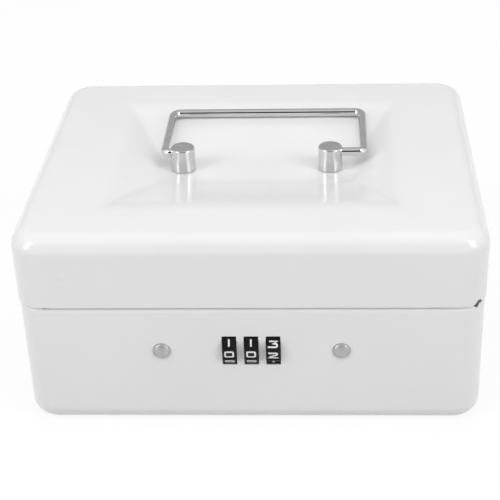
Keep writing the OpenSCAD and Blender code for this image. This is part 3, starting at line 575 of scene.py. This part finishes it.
# Base shell: one drawn box with a double bend under the rim, three windows and two button holes
def base_loops():
    loops = []
    for step in range(BEND_STEPS + 1):
        turn = -math.pi / 2 * (1 - step / BEND_STEPS)
        inset = BASE_BEND * (1 - math.cos(turn))
        loops.append((inset, BASE_BEND * (1 + math.sin(turn))))
    loops.append((0, BASE_BEND + BEND_LEAD))
    loops.append((0, RIM_START - BEND_LEAD))
    outer_r, inner_r = RIM_BEND, RIM_BEND - SHEET
    full_turn = math.acos(1 - RIM_INSET / (outer_r + inner_r))
    for step in range(BEND_STEPS + 1):
        turn = full_turn * step / BEND_STEPS
        loops.append((outer_r * (1 - math.cos(turn)), RIM_START + outer_r * math.sin(turn)))
    bend_end = RIM_START + (outer_r + inner_r) * math.sin(full_turn)
    for step in range(1, BEND_STEPS + 1):
        turn = full_turn * (1 - step / BEND_STEPS)
        loops.append((RIM_INSET - inner_r * (1 - math.cos(turn)), bend_end - inner_r * math.sin(turn)))
    loops.append((RIM_INSET, bend_end + RIM_LEAD))
    loops.append((RIM_INSET, RIM_TOP))
    return [rounded_loop(BASE_HALF, inset, BASE_CORNER, z) for inset, z in loops]


def build_base():
    loops = base_loops()
    count = len(loops[0])
    floor_ring = rounded_loop(BASE_HALF, BASE_BEND + BASE_FLOOR_MARGIN, BASE_CORNER, 0)
    points = floor_ring + [p for loop in loops for p in loop]
    faces = skin_loops([floor_ring] + loops)
    faces.append(tuple(range(count))[::-1])
    base = mesh_piece("base_walls", points, faces)
    add_solidify(base, SHEET)
    bake(base)
    front_out, front_in = -BASE_HALF[1] - CUTTER_REACH, -BASE_HALF[1] + 2 * CUTTER_REACH
    cutters = []
    for k in (-1, 0, 1):
        x, half_w, half_h = k * WHEEL_PITCH, WINDOW[0] / 2, WINDOW[1] / 2
        low, high = (x - half_w, front_out, LOCK_Z - half_h), (x + half_w, front_in, LOCK_Z + half_h)
        cutters.append(plain_box("cutter", low, high))
    for side in (-1, 1):
        ends = [(front_out, 0), (front_out, BUTTON_HOLE_R), (front_in, BUTTON_HOLE_R), (front_in, 0)]
        cutters.append(lathe("cutter", ends, (side * BUTTON_X, 0, LOCK_Z), "y", BUTTON_SIDES))
    cut_with(base, cutters)
    add_bevel(base, CUT_EDGE, angle=60)
    bake(base)
    return dress(base, "base", "painted_steel", WHITE_ENAMEL, "base_shell", sharp_angle=40)


# Lid shell: skirt, rolled top edge and the recess as one height field
def soft_max(a, b, k):
    return np.maximum(a, b) + np.maximum(k - np.abs(a - b), 0) ** 2 / (4 * k)


def recess_height(x, y):
    along = RECESS_FLOOR + (np.abs(y) - RECESS_FLOOR_HALF[1]) * RECESS_SLOPE_Y
    across = RECESS_FLOOR + (np.abs(x) - RECESS_FLOOR_HALF[0]) * RECESS_SLOPE_X
    walls = soft_max(along, across, VALLEY_SOFTNESS)
    bowl = soft_max(walls, RECESS_FLOOR, BEND_SOFTNESS)
    return -soft_max(-bowl, -LID_TOP, BEND_SOFTNESS)


def build_lid():
    insets = [(0, LID_LOW), (0, LID_TOP - LID_BEND - BEND_LEAD)]
    for step in range(BEND_STEPS + 1):
        turn = math.pi / 2 * step / BEND_STEPS
        insets.append((LID_BEND * (1 - math.cos(turn)), LID_TOP - LID_BEND * (1 - math.sin(turn))))
    loops = [rounded_loop(LID_HALF, inset, LID_CORNER, z) for inset, z in insets]
    loops.append(rounded_loop(LID_HALF, LID_BEND + LID_FLAT_MARGIN, LID_CORNER, LID_TOP))
    points = [p for loop in loops for p in loop]
    faces = skin_loops(loops)
    count = len(loops[0])
    last = list(range(len(points) - count, len(points)))
    nx = round(2 * RECESS_GRID_HALF[0] / RECESS_GRID_STEP)
    ny = round(2 * RECESS_GRID_HALF[1] / RECESS_GRID_STEP)
    xs = np.linspace(-RECESS_GRID_HALF[0], RECESS_GRID_HALF[0], nx + 1)
    ys = np.linspace(-RECESS_GRID_HALF[1], RECESS_GRID_HALF[1], ny + 1)
    first = len(points)
    for y in ys:
        points.extend(zip(xs, [y] * len(xs), recess_height(xs, y)))

    def at(i, j):
        return first + j * (nx + 1) + i

    for j in range(ny):
        for i in range(nx):
            faces.append((at(i, j), at(i + 1, j), at(i + 1, j + 1), at(i, j + 1)))
    border = [at(i, 0) for i in range(nx)] + [at(nx, j) for j in range(ny)]
    border += [at(i, ny) for i in range(nx, 0, -1)] + [at(0, j) for j in range(ny, 0, -1)]
    faces += join_flat_rings(points, last, border)
    lid = mesh_piece("lid_skin", points, faces)
    add_solidify(lid, SHEET)
    bake(lid)
    add_bevel(lid, LID_EDGE, angle=60)
    bake(lid)
    return dress(lid, "lid", "painted_steel", WHITE_ENAMEL, "lid_shell", sharp_angle=40)


# Handle: two turned posts and the wire
def build_post(side):
    foot = RECESS_FLOOR
    profile = [(foot, 0), (foot, POST_R - POST_FOOT_EDGE), (foot + POST_FOOT_EDGE, POST_R)]
    for step in range(POST_ROUND_STEPS + 1):
        turn = math.pi / 2 * step / POST_ROUND_STEPS
        drop = POST_ROUND * (1 - math.sin(turn))
        profile.append((POST_TOP - drop, POST_R - POST_ROUND * (1 - math.cos(turn))))
    profile.append((POST_TOP, 0))
    name = "left" if side < 0 else "right"
    post = lathe("turned_post_" + name, profile, (side * POST_X, 0, 0), "z", segments=96)
    low, high = sorted((side * HOLE_BOTTOM_X, side * (POST_X + POST_R + CUTTER_REACH)))
    ends = [(low, 0), (low, WIRE_HOLE_R), (high, WIRE_HOLE_R), (high, 0)]
    cut_with(post, [lathe("cutter", ends, (0, 0, PIVOT_Z), "x", segments=48)])
    add_bevel(post, CUT_EDGE)
    bake(post)
    return dress(post, "lid", "bright_chrome", TURNED_CHROME, "handle_post_" + name)


def corner_arc(centre, radius, start, stop):
    return [
        (centre[0] + radius * math.cos(a), centre[1] + radius * math.sin(a))
        for a in np.linspace(math.radians(start), math.radians(stop), ARC_STEPS + 1)
    ]


def build_wire():
    left, right = WIRE_ARMS
    stub_r, grip_r = WIRE_STUB_BEND, WIRE_GRIP_BEND
    flat = [(WIRE_ENDS[0], 0.0)]
    flat += corner_arc((left + stub_r, stub_r), stub_r, 270, 180)
    flat += corner_arc((left + grip_r, WIRE_GRIP - grip_r), grip_r, 180, 90)
    flat += corner_arc((right - grip_r, WIRE_GRIP - grip_r), grip_r, 90, 0)
    flat += corner_arc((right - stub_r, stub_r), stub_r, 0, -90)
    flat += [(WIRE_ENDS[1], 0.0)]
    rise = math.radians(WIRE_RISE)
    path = [(x, y * math.cos(rise), PIVOT_Z + y * math.sin(rise)) for x, y in flat]
    wire = sweep("handle_wire", path, (0, -math.sin(rise), math.cos(rise)), WIRE_R, segments=28)
    return dress(wire, "handle", "bright_chrome", CHROME, "handle_bail", sharp_angle=50)


# Number wheels
ROUND_BOX = [
    (-0.50, 1), (0.50, 1), (0.74, 0.93), (0.84, 0.70), (0.84, -0.70), (0.74, -0.93), (0.50, -1),
    (-0.50, -1), (-0.74, -0.93), (-0.84, -0.70), (-0.84, 0.70), (-0.74, 0.93), (-0.50, 1),
]
NINE = [
    (0.84, 0.05), (-0.50, 0.05), (-0.78, 0.15), (-0.84, 0.35), (-0.84, 0.70), (-0.74, 0.93), (-0.50, 1),
    (0.50, 1), (0.74, 0.93), (0.84, 0.70), (0.84, -0.70), (0.74, -0.93), (0.50, -1), (-0.80, -1),
]
STROKES = {
    0: [ROUND_BOX],
    1: [[(0, -1), (0, 1)]],
    2: [[(-0.86, 1), (0.50, 1), (0.76, 0.92), (0.85, 0.68), (0.80, 0.40), (0.55, 0.20), (-0.60, -0.55),
         (-0.86, -1), (0.90, -1)]],
    3: [[(-0.62, 1), (0.86, 1), (0.02, 0.18), (0.50, 0.14), (0.78, 0.02), (0.84, -0.20), (0.84, -0.68),
         (0.74, -0.93), (0.50, -1), (-0.90, -1)]],
    4: [[(0.35, -1), (0.35, 1), (-0.86, -0.35), (0.90, -0.35)]],
    5: [[(0.80, 1), (-0.82, 1), (-0.82, 0.12), (0.50, 0.12), (0.76, 0.03), (0.84, -0.20), (0.84, -0.70),
         (0.74, -0.93), (0.50, -1), (-0.84, -1)]],
    6: [[(-x, -y) for x, y in NINE]],
    7: [[(-0.85, 1), (0.85, 1), (-0.20, -1)]],
    8: [ROUND_BOX, [(-0.50, 0), (0.50, 0)]],
    9: [NINE],
}
DIGIT_HALF = (2.05, 1.25)
STROKE_HALF = 0.38
STROKE_END = 0.9 * STROKE_HALF
STROKE_STEP = 0.5
LEAST_MITRE = 0.55
PAINT_LIFT = 0.03


def digit_outline(stroke):
    """Left and right edge points of a stroke of even width, with flat ends."""
    line = [Vector((x * DIGIT_HALF[0], y * DIGIT_HALF[1])) for x, y in stroke]
    closed = (line[0] - line[-1]).length < 1e-6
    left, right = [], []
    for k, point in enumerate(line):
        before = line[k - 1] if k else (line[-2] if closed else None)
        after = line[k + 1] if k + 1 < len(line) else (line[1] if closed else None)
        way_in = (point - before).normalized() if before is not None else None
        way_out = (after - point).normalized() if after is not None else None
        if way_in is None or way_out is None:
            way = way_out if way_in is None else way_in
            square, reach = Vector((-way.y, way.x)), STROKE_HALF
            point = point + way * (-STROKE_END if way_in is None else STROKE_END)
        else:
            square = (Vector((-way_in.y, way_in.x)) + Vector((-way_out.y, way_out.x))).normalized()
            reach = STROKE_HALF / max(square.dot(Vector((-way_in.y, way_in.x))), LEAST_MITRE)
        left.append(point + square * reach)
        right.append(point - square * reach)
    return left, right


def on_wheel(x, arc, turn, k):
    angle = math.radians(turn) + arc / WHEEL_BODY_R
    radius = WHEEL_BODY_R + PAINT_LIFT
    return (k * WHEEL_PITCH + x, WHEEL_Y - radius * math.cos(angle), LOCK_Z + radius * math.sin(angle))


def build_digits(k, name):
    points, faces = [], []
    for digit in range(DIGITS):
        turn = -WHEEL_TURNS[name] + DIGIT_ANGLE * (digit - WHEEL_SHOWN[name])
        for stroke in STROKES[digit]:
            left, right = digit_outline(stroke)
            start = len(points)
            steps = 0
            for i in range(len(left) - 1):
                longest = max((left[i + 1] - left[i]).length, (right[i + 1] - right[i]).length)
                pieces = max(1, math.ceil(longest / STROKE_STEP))
                for step in range(pieces + (i == len(left) - 2)):
                    t = step / pieces
                    a, b = left[i].lerp(left[i + 1], t), right[i].lerp(right[i + 1], t)
                    for share in (0, 0.5, 1):
                        spot = a.lerp(b, share)
                        points.append(on_wheel(spot.x, spot.y, turn, k))
                    steps += 1
            for i in range(steps - 1):
                a, b = start + 3 * i, start + 3 * (i + 1)
                faces.append((a + 1, b + 1, b, a))
                faces.append((a + 2, b + 2, b + 1, a + 1))
    digits = mesh_piece("digits_" + name, points, faces)
    digits.data.polygons.foreach_set("use_smooth", [True] * len(faces))
    digits.data.materials.append(DIGIT_WHITE)
    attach(digits, "wheel_" + name)
    return digits


def new_copies_tree(name, inputs):
    """A Geometry Nodes tree that makes copies of a piece, in a material of their own."""
    geometry = "NodeSocketGeometry"
    ports = {"Geometry": (geometry, None), **inputs, "Material": ("NodeSocketMaterial", None)}
    return new_group(name, ports, ("Geometry", geometry), "GeometryNodeTree")


def finish_copies(tree, copies, given, result):
    painted = add_node(tree, "GeometryNodeSetMaterial", Geometry=copies, Material=given["Material"])
    tree.links.new(painted.outputs[0], result[0])
    return tree


def build_ring_tree():
    """Copies of a piece round the X axis: count, first angle and the ring's centre."""
    inputs = {"Count": ("NodeSocketInt", 10), "First angle": (NUMBER, 0.0), "Centre": (VECTOR, (0, 0, 0))}
    tree, given, result = new_copies_tree("copies in a ring", inputs)
    dots = add_node(tree, "GeometryNodePoints", Count=given["Count"])
    number = tree.nodes.new("GeometryNodeInputIndex").outputs[0]
    part = add_math(tree, "DIVIDE", 2 * math.pi, given["Count"])
    turn = add_math(tree, "MULTIPLY_ADD", number, part, given["First angle"])
    copies = add_node(
        tree,
        "GeometryNodeInstanceOnPoints",
        Points=dots.outputs[0],
        Instance=given["Geometry"],
        Rotation=add_node(tree, "ShaderNodeCombineXYZ", X=turn).outputs[0],
    )
    placed = add_node(tree, "GeometryNodeRealizeInstances", Geometry=copies.outputs[0])
    moved = add_node(
        tree, "GeometryNodeTransform", Geometry=placed.outputs[0], Translation=given["Centre"]
    )
    return finish_copies(tree, moved.outputs[0], given, result)


def build_row_tree():
    """Copies of a piece in a straight row: count, start and step."""
    inputs = {"Count": ("NodeSocketInt", 2), "Start": (VECTOR, (0, 0, 0)), "Step": (VECTOR, (0, 0, 0))}
    tree, given, result = new_copies_tree("copies in a row", inputs)
    line = add_node(
        tree,
        "GeometryNodeMeshLine",
        Count=given["Count"],
        Start_Location=given["Start"],
        Offset=given["Step"],
    )
    copies = add_node(
        tree, "GeometryNodeInstanceOnPoints", Points=line.outputs[0], Instance=given["Geometry"]
    )
    placed = add_node(tree, "GeometryNodeRealizeInstances", Geometry=copies.outputs[0])
    return finish_copies(tree, placed.outputs[0], given, result)


RING_TREE = build_ring_tree()
ROW_TREE = build_row_tree()


def use_tree(piece, tree, **values):
    modifier = piece.modifiers.new(tree.name, "NODES")
    modifier.node_group = tree
    for key, value in values.items():
        socket = tree.interface.items_tree[key.replace("_", " ")]
        modifier[socket.identifier] = value
    return piece


def build_wheel(k, name):
    half = WHEEL_WIDTH / 2
    centre = (k * WHEEL_PITCH, WHEEL_Y, LOCK_Z)
    edge = WHEEL_EDGE
    profile = [
        (-half, WHEEL_BORE_R), (-half, WHEEL_BODY_R - edge), (-half + edge, WHEEL_BODY_R),
        (half - edge, WHEEL_BODY_R), (half, WHEEL_BODY_R - edge), (half, WHEEL_BORE_R),
    ]
    wheel = lathe("wheel_" + name, profile[::-1], centre, "x", segments=120)
    crest, root = -WHEEL_BODY_R - RIDGE_HEIGHT, -WHEEL_BODY_R + RIDGE_ROOT
    ridge = plain_box("ridge", (-half, crest, -RIDGE_WIDTH / 2), (half, root, RIDGE_WIDTH / 2))
    add_bevel(ridge, RIDGE_EDGE, angle=60, steps=3)
    bake(ridge)
    use_tree(
        ridge,
        RING_TREE,
        Count=DIGITS,
        First_angle=math.radians(DIGIT_ANGLE / 2 + WHEEL_TURNS[name]),
        Centre=[c * MM for c in centre],
        Material=WHEEL_BLACK,
    )
    bake(ridge)
    join(wheel, ridge)
    return dress(
        wheel, "wheel_" + name, "wheel_plastic", WHEEL_BLACK, "number_wheel_" + name, sharp_angle=35
    )


# Push buttons: drop below the face, and radius, over the domed middle and the flat rim
BUTTON_DOME = [
    (0, 0), (0.02, 0.7), (0.08, 1.3), (0.18, 1.8), (0.3, 2.2), (0.42, 2.45), (0.5, 2.55), (0.52, 2.7),
    (0.54, 2.85), (0.62, 3.0), (0.8, 3.25), (1.04, 3.47), (1.3, 3.62), (1.6, BUTTON_R),
]


def build_button(side):
    name = "left" if side < 0 else "right"
    profile = [(BUTTON_FACE + drop, radius) for drop, radius in BUTTON_DOME]
    profile += [
        (COLLAR_FRONT, BUTTON_R), (COLLAR_FRONT, COLLAR_R), (COLLAR_BACK, COLLAR_R), (COLLAR_BACK, STEM_R),
        (STEM_SHOULDER, STEM_R), (STEM_SHOULDER, STEM_TIP_R), (STEM_END, STEM_TIP_R), (STEM_END, 0),
    ]
    button = lathe("button_" + name, profile, (side * BUTTON_X, 0, LOCK_Z), "y", BUTTON_SIDES)
    return dress(
        button, "release", "bright_chrome", BUTTON_CHROME, "push_button_" + name, sharp_angle=50
    )


# Hinge rivets
def build_rivets(name, body, inner_y, outer_y, z, node):
    angles = [math.pi / 2 * step / RIVET_ROUND_STEPS for step in range(1, RIVET_ROUND_STEPS + 1)]
    dome = [(RIVET_HEAD_H, 0)]
    dome += [(RIVET_HEAD_H * math.cos(angle), RIVET_HEAD_R * math.sin(angle)) for angle in angles]
    profile = [(inner_y - height, radius) for height, radius in dome]
    profile += [(inner_y, RIVET_SHANK_R), (outer_y, RIVET_SHANK_R)]
    profile += [(outer_y + height, radius) for height, radius in dome[::-1]]
    rivet = lathe(name, profile, (0, 0, z), "y", segments=32)
    tidy_mesh(rivet.data, sharp_angle=40)
    for step in (RIVET_SPACING, 2 * HINGE_X):
        start = [-step / 2 * MM, 0, 0]
        use_tree(rivet, ROW_TREE, Count=2, Start=start, Step=[step * MM, 0, 0], Material=ZINC)
    bake(rivet)
    return dress(rivet, body, "zinc_plate", ZINC, node)


# The other metal and plastic pieces keep their CAD shape, with soft edges
def dressed_copy(node, body, slot, material, soft_edge):
    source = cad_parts[node]
    copy = link("dressed_" + node, source.data.copy())
    tidy_mesh(copy.data, SHARP_ANGLE, outward=False)
    work = bmesh.new()
    work.from_mesh(copy.data)
    bmesh.ops.dissolve_limit(
        work, angle_limit=math.radians(FLAT_ANGLE), verts=work.verts, edges=work.edges
    )
    work.to_mesh(copy.data)
    work.free()
    if soft_edge:
        add_bevel(copy, soft_edge, angle=45)
        bake(copy)
    return dress(copy, body, slot, material, node)


DRESSED = [
    ("lock_case", "base", "zinc_plate", ZINC, 0.25),
    ("lock_mount_studs", "base", "zinc_plate", ZINC, 0),
    ("lock_mount_nuts", "base", "zinc_plate", ZINC, 0.2),
    ("wheel_shaft", "base", "zinc_plate", ZINC, 0.15),
    ("wheel_detent_spring", "base", "zinc_plate", ZINC, 0),
    ("tray_ledge_left", "base", "painted_steel", WHITE_ENAMEL, 0.25),
    ("tray_ledge_right", "base", "painted_steel", WHITE_ENAMEL, 0.25),
    ("base_hinge_leaf_left", "base", "zinc_plate", ZINC, 0.15),
    ("base_hinge_leaf_right", "base", "zinc_plate", ZINC, 0.15),
    ("hinge_pin_left", "base", "zinc_plate", ZINC, 0.1),
    ("hinge_pin_right", "base", "zinc_plate", ZINC, 0.1),
    ("lid_hinge_leaf_left", "lid", "zinc_plate", ZINC, 0.15),
    ("lid_hinge_leaf_right", "lid", "zinc_plate", ZINC, 0.15),
    ("lid_catch_left", "lid", "zinc_plate", ZINC, 0.2),
    ("lid_catch_right", "lid", "zinc_plate", ZINC, 0.2),
    ("handle_screws", "lid", "zinc_plate", ZINC, 0.1),
    ("handle_washers", "lid", "zinc_plate", ZINC, 0.1),
    ("cam_sleeve_left", "sleeve_left", "sleeve_brass", BRASS, 0.1),
    ("cam_sleeve_middle", "sleeve_middle", "sleeve_brass", BRASS, 0.1),
    ("cam_sleeve_right", "sleeve_right", "sleeve_brass", BRASS, 0.1),
    ("code_change_lever", "code_lever", "zinc_plate", ZINC, 0.15),
    ("release_plate", "release", "zinc_plate", ZINC, 0.15),
    ("button_spring_left", "release", "zinc_plate", ZINC, 0),
    ("button_spring_right", "release", "zinc_plate", ZINC, 0),
    ("coin_tray", "tray", "black_plastic", TRAY_BLACK, 0.3),
]

build_base()
build_lid()
for side in (-1, 1):
    build_post(side)
    build_button(side)
build_wire()
for k, name in ((-1, "left"), (0, "middle"), (1, "right")):
    build_wheel(k, name)
    build_digits(k, name)
back_in, back_out = BASE_HALF[1] - SHEET, BASE_HALF[1] + LEAF_THICKNESS
build_rivets("base_rivet_heads", "base", back_in, back_out, BASE_RIVET_Z, "base_hinge_rivets")
back_in, back_out = LID_HALF[1] - SHEET, LID_HALF[1] + LEAF_THICKNESS
build_rivets("lid_rivet_heads", "lid", back_in, back_out, LID_RIVET_Z, "lid_hinge_rivets")
for node, body, slot, material, soft_edge in DRESSED:
    dressed_copy(node, body, slot, material, soft_edge)


# Floor, world, lamps and reflection cards
WORLD_BOUNCE = 0.08
FLOOR_HALF = 4000.0
FLOOR_GAP = 0.05
FLOOR_BOUNCE = 0.66
FLOOR_SEEN = 0.93
FLOOR_GLOW = 0.88
LAMP_TARGET = (0, 0, 0.05)
CARD_DISTANCE = 1.6
CARD_STEPS = 12
WHITE = (1, 1, 1, 1)


def emitter(name, strength):
    material = bpy.data.materials.new(name)
    material.use_nodes = True
    tree = material.node_tree
    tree.nodes.clear()
    glow = add_node(tree, "ShaderNodeEmission", Color=WHITE, Strength=strength)
    add_node(tree, "ShaderNodeOutputMaterial", Surface=glow.outputs[0])
    return material


def seen_rays(tree):
    """1 for camera, glossy and transmission rays."""
    path = tree.nodes.new("ShaderNodeLightPath").outputs
    seen = add_math(tree, "MAXIMUM", path["Is Camera Ray"], path["Is Glossy Ray"])
    return add_math(tree, "MAXIMUM", seen, path["Is Transmission Ray"])


def mix_shaders(tree, share, first, second):
    mix = add_node(tree, "ShaderNodeMixShader", Fac=share)
    tree.links.new(first.outputs[0], mix.inputs[1])
    tree.links.new(second.outputs[0], mix.inputs[2])
    return mix.outputs[0]


def build_world():
    world = bpy.data.worlds.new("studio")
    scene.world = world
    world.use_nodes = True
    tree = world.node_tree
    tree.nodes.clear()
    soft = add_node(tree, "ShaderNodeBackground", Color=WHITE, Strength=WORLD_BOUNCE)
    white = add_node(tree, "ShaderNodeBackground", Color=WHITE, Strength=1.0)
    add_node(tree, "ShaderNodeOutputWorld", Surface=mix_shaders(tree, seen_rays(tree), soft, white))


def build_floor():
    """Pale paper that keeps the box's shadow; seen directly or mirrored it is nearly white."""
    half = FLOOR_HALF
    corners = [(-half, -half, 0), (half, -half, 0), (half, half, 0), (-half, half, 0)]
    floor = mesh_piece("floor", corners, [(0, 1, 2, 3)])
    floor.location.z = -FLOOR_GAP * MM
    material = bpy.data.materials.new("pale floor")
    material.use_nodes = True
    tree = material.node_tree
    tree.nodes.clear()
    seen = seen_rays(tree)
    colour = mix_colours(tree, seen, grey(FLOOR_BOUNCE), grey(FLOOR_SEEN))
    paper = add_node(tree, "ShaderNodeBsdfDiffuse", Color=colour)
    glow = add_node(tree, "ShaderNodeEmission", Color=WHITE, Strength=1.0)
    share = add_math(tree, "MULTIPLY", seen, FLOOR_GLOW)
    add_node(tree, "ShaderNodeOutputMaterial", Surface=mix_shaders(tree, share, paper, glow))
    floor.data.materials.append(material)


def from_angles(azimuth, elevation, distance):
    """A point round the box: azimuth 0 is on the camera's side, positive to the right."""
    a, e = math.radians(azimuth), math.radians(elevation)
    flat = distance * math.cos(e)
    return Vector((flat * math.sin(a), -flat * math.cos(a), distance * math.sin(e)))


def add_lamp(name, place, size, power, mirrored):
    lamp = bpy.data.lights.new(name, "AREA")
    lamp.shape = "RECTANGLE"
    lamp.size, lamp.size_y = size
    lamp.energy = power
    piece = bpy.data.objects.new(name, lamp)
    scene.collection.objects.link(piece)
    piece.location = Vector(place)
    piece.rotation_mode = "QUATERNION"
    piece.rotation_quaternion = (Vector(LAMP_TARGET) - Vector(place)).to_track_quat("-Z", "Y")
    piece.visible_glossy = mirrored


def add_card(name, azimuths, elevations, strength):
    """A curved card that only reflections see."""
    points = [
        tuple(from_angles(azimuth, elevation, CARD_DISTANCE) / MM)
        for azimuth in np.linspace(*azimuths, CARD_STEPS + 1)
        for elevation in elevations
    ]
    faces = [(2 * i, 2 * i + 1, 2 * i + 3, 2 * i + 2) for i in range(CARD_STEPS)]
    card = mesh_piece(name, points, faces)
    card.data.materials.append(emitter(name, strength))
    card.visible_camera = False
    card.visible_diffuse = False
    card.visible_shadow = False
    card.visible_transmission = False


# Name, place and size in metres, power in watts, and whether reflections show the lamp
LAMPS = [
    ("overhead softbox", (0.0, -0.2, 1.3), (1.2, 1.2), 6.6, False),
    ("back softbox", from_angles(180, 45, 1.3), (1.2, 0.6), 6.2, False),
    ("front softbox", from_angles(0, 52, 1.2), (1.2, 0.5), 2.2, False),
    ("low left softbox", from_angles(-80, 15, 1.4), (1.2, 0.5), 2.2, False),
    ("low right softbox", from_angles(80, 15, 1.4), (1.2, 0.5), 2.2, False),
    ("side softbox", from_angles(-54, 33, 1.15), (0.32, 0.9), 4.5, True),
    ("side softbox", from_angles(54, 33, 1.15), (0.32, 0.9), 4.5, True),
]

# Name, span of azimuths and of elevations in degrees, and brightness
CARDS = [
    ("grey wall behind", (105, 255), (7, 60), 0.50),
    ("dark strip in front", (-44, 44), (18, 54), 0.0),
    ("soft ceiling", (-180, 180), (62, 88), 0.72),
]

build_world()
build_floor()
for lamp_row in LAMPS:
    add_lamp(*lamp_row)
for card_row in CARDS:
    add_card(*card_row)


# Camera, at the photograph's viewpoint
YAW, PITCH, ROLL = math.radians(-2.82), math.radians(30.19), math.radians(-1.64)
DISTANCE = 634.13
FOCAL_PX = 1320.18
TARGET = Vector((7.29, 0, 40.2))
PICTURE = 500
CENTRE_PX = (275, 250)
SENSOR_WIDTH = 36
CLIP_NEAR, CLIP_FAR = 0.01, 50


def build_camera():
    forward = Vector(
        (math.sin(YAW) * math.cos(PITCH), math.cos(YAW) * math.cos(PITCH), -math.sin(PITCH))
    )
    level_right = Vector((math.cos(YAW), -math.sin(YAW), 0))
    level_up = level_right.cross(forward)
    right = level_right * math.cos(ROLL) + level_up * math.sin(ROLL)
    up = level_up * math.cos(ROLL) - level_right * math.sin(ROLL)
    camera = bpy.data.objects.new("camera", bpy.data.cameras.new("camera"))
    scene.collection.objects.link(camera)
    turn = Matrix([tuple(row) for row in np.column_stack((right, up, -forward))])
    camera.rotation_mode = "QUATERNION"
    camera.rotation_quaternion = turn.to_quaternion()
    camera.location = (TARGET - forward * DISTANCE) * MM
    camera.data.sensor_width = SENSOR_WIDTH
    camera.data.lens = FOCAL_PX / PICTURE * SENSOR_WIDTH
    camera.data.shift_x = -(CENTRE_PX[0] - PICTURE / 2) / PICTURE
    camera.data.shift_y = (CENTRE_PX[1] - PICTURE / 2) / PICTURE
    camera.data.clip_start, camera.data.clip_end = CLIP_NEAR, CLIP_FAR
    scene.camera = camera


build_camera()
scene.view_settings.view_transform = "Standard"
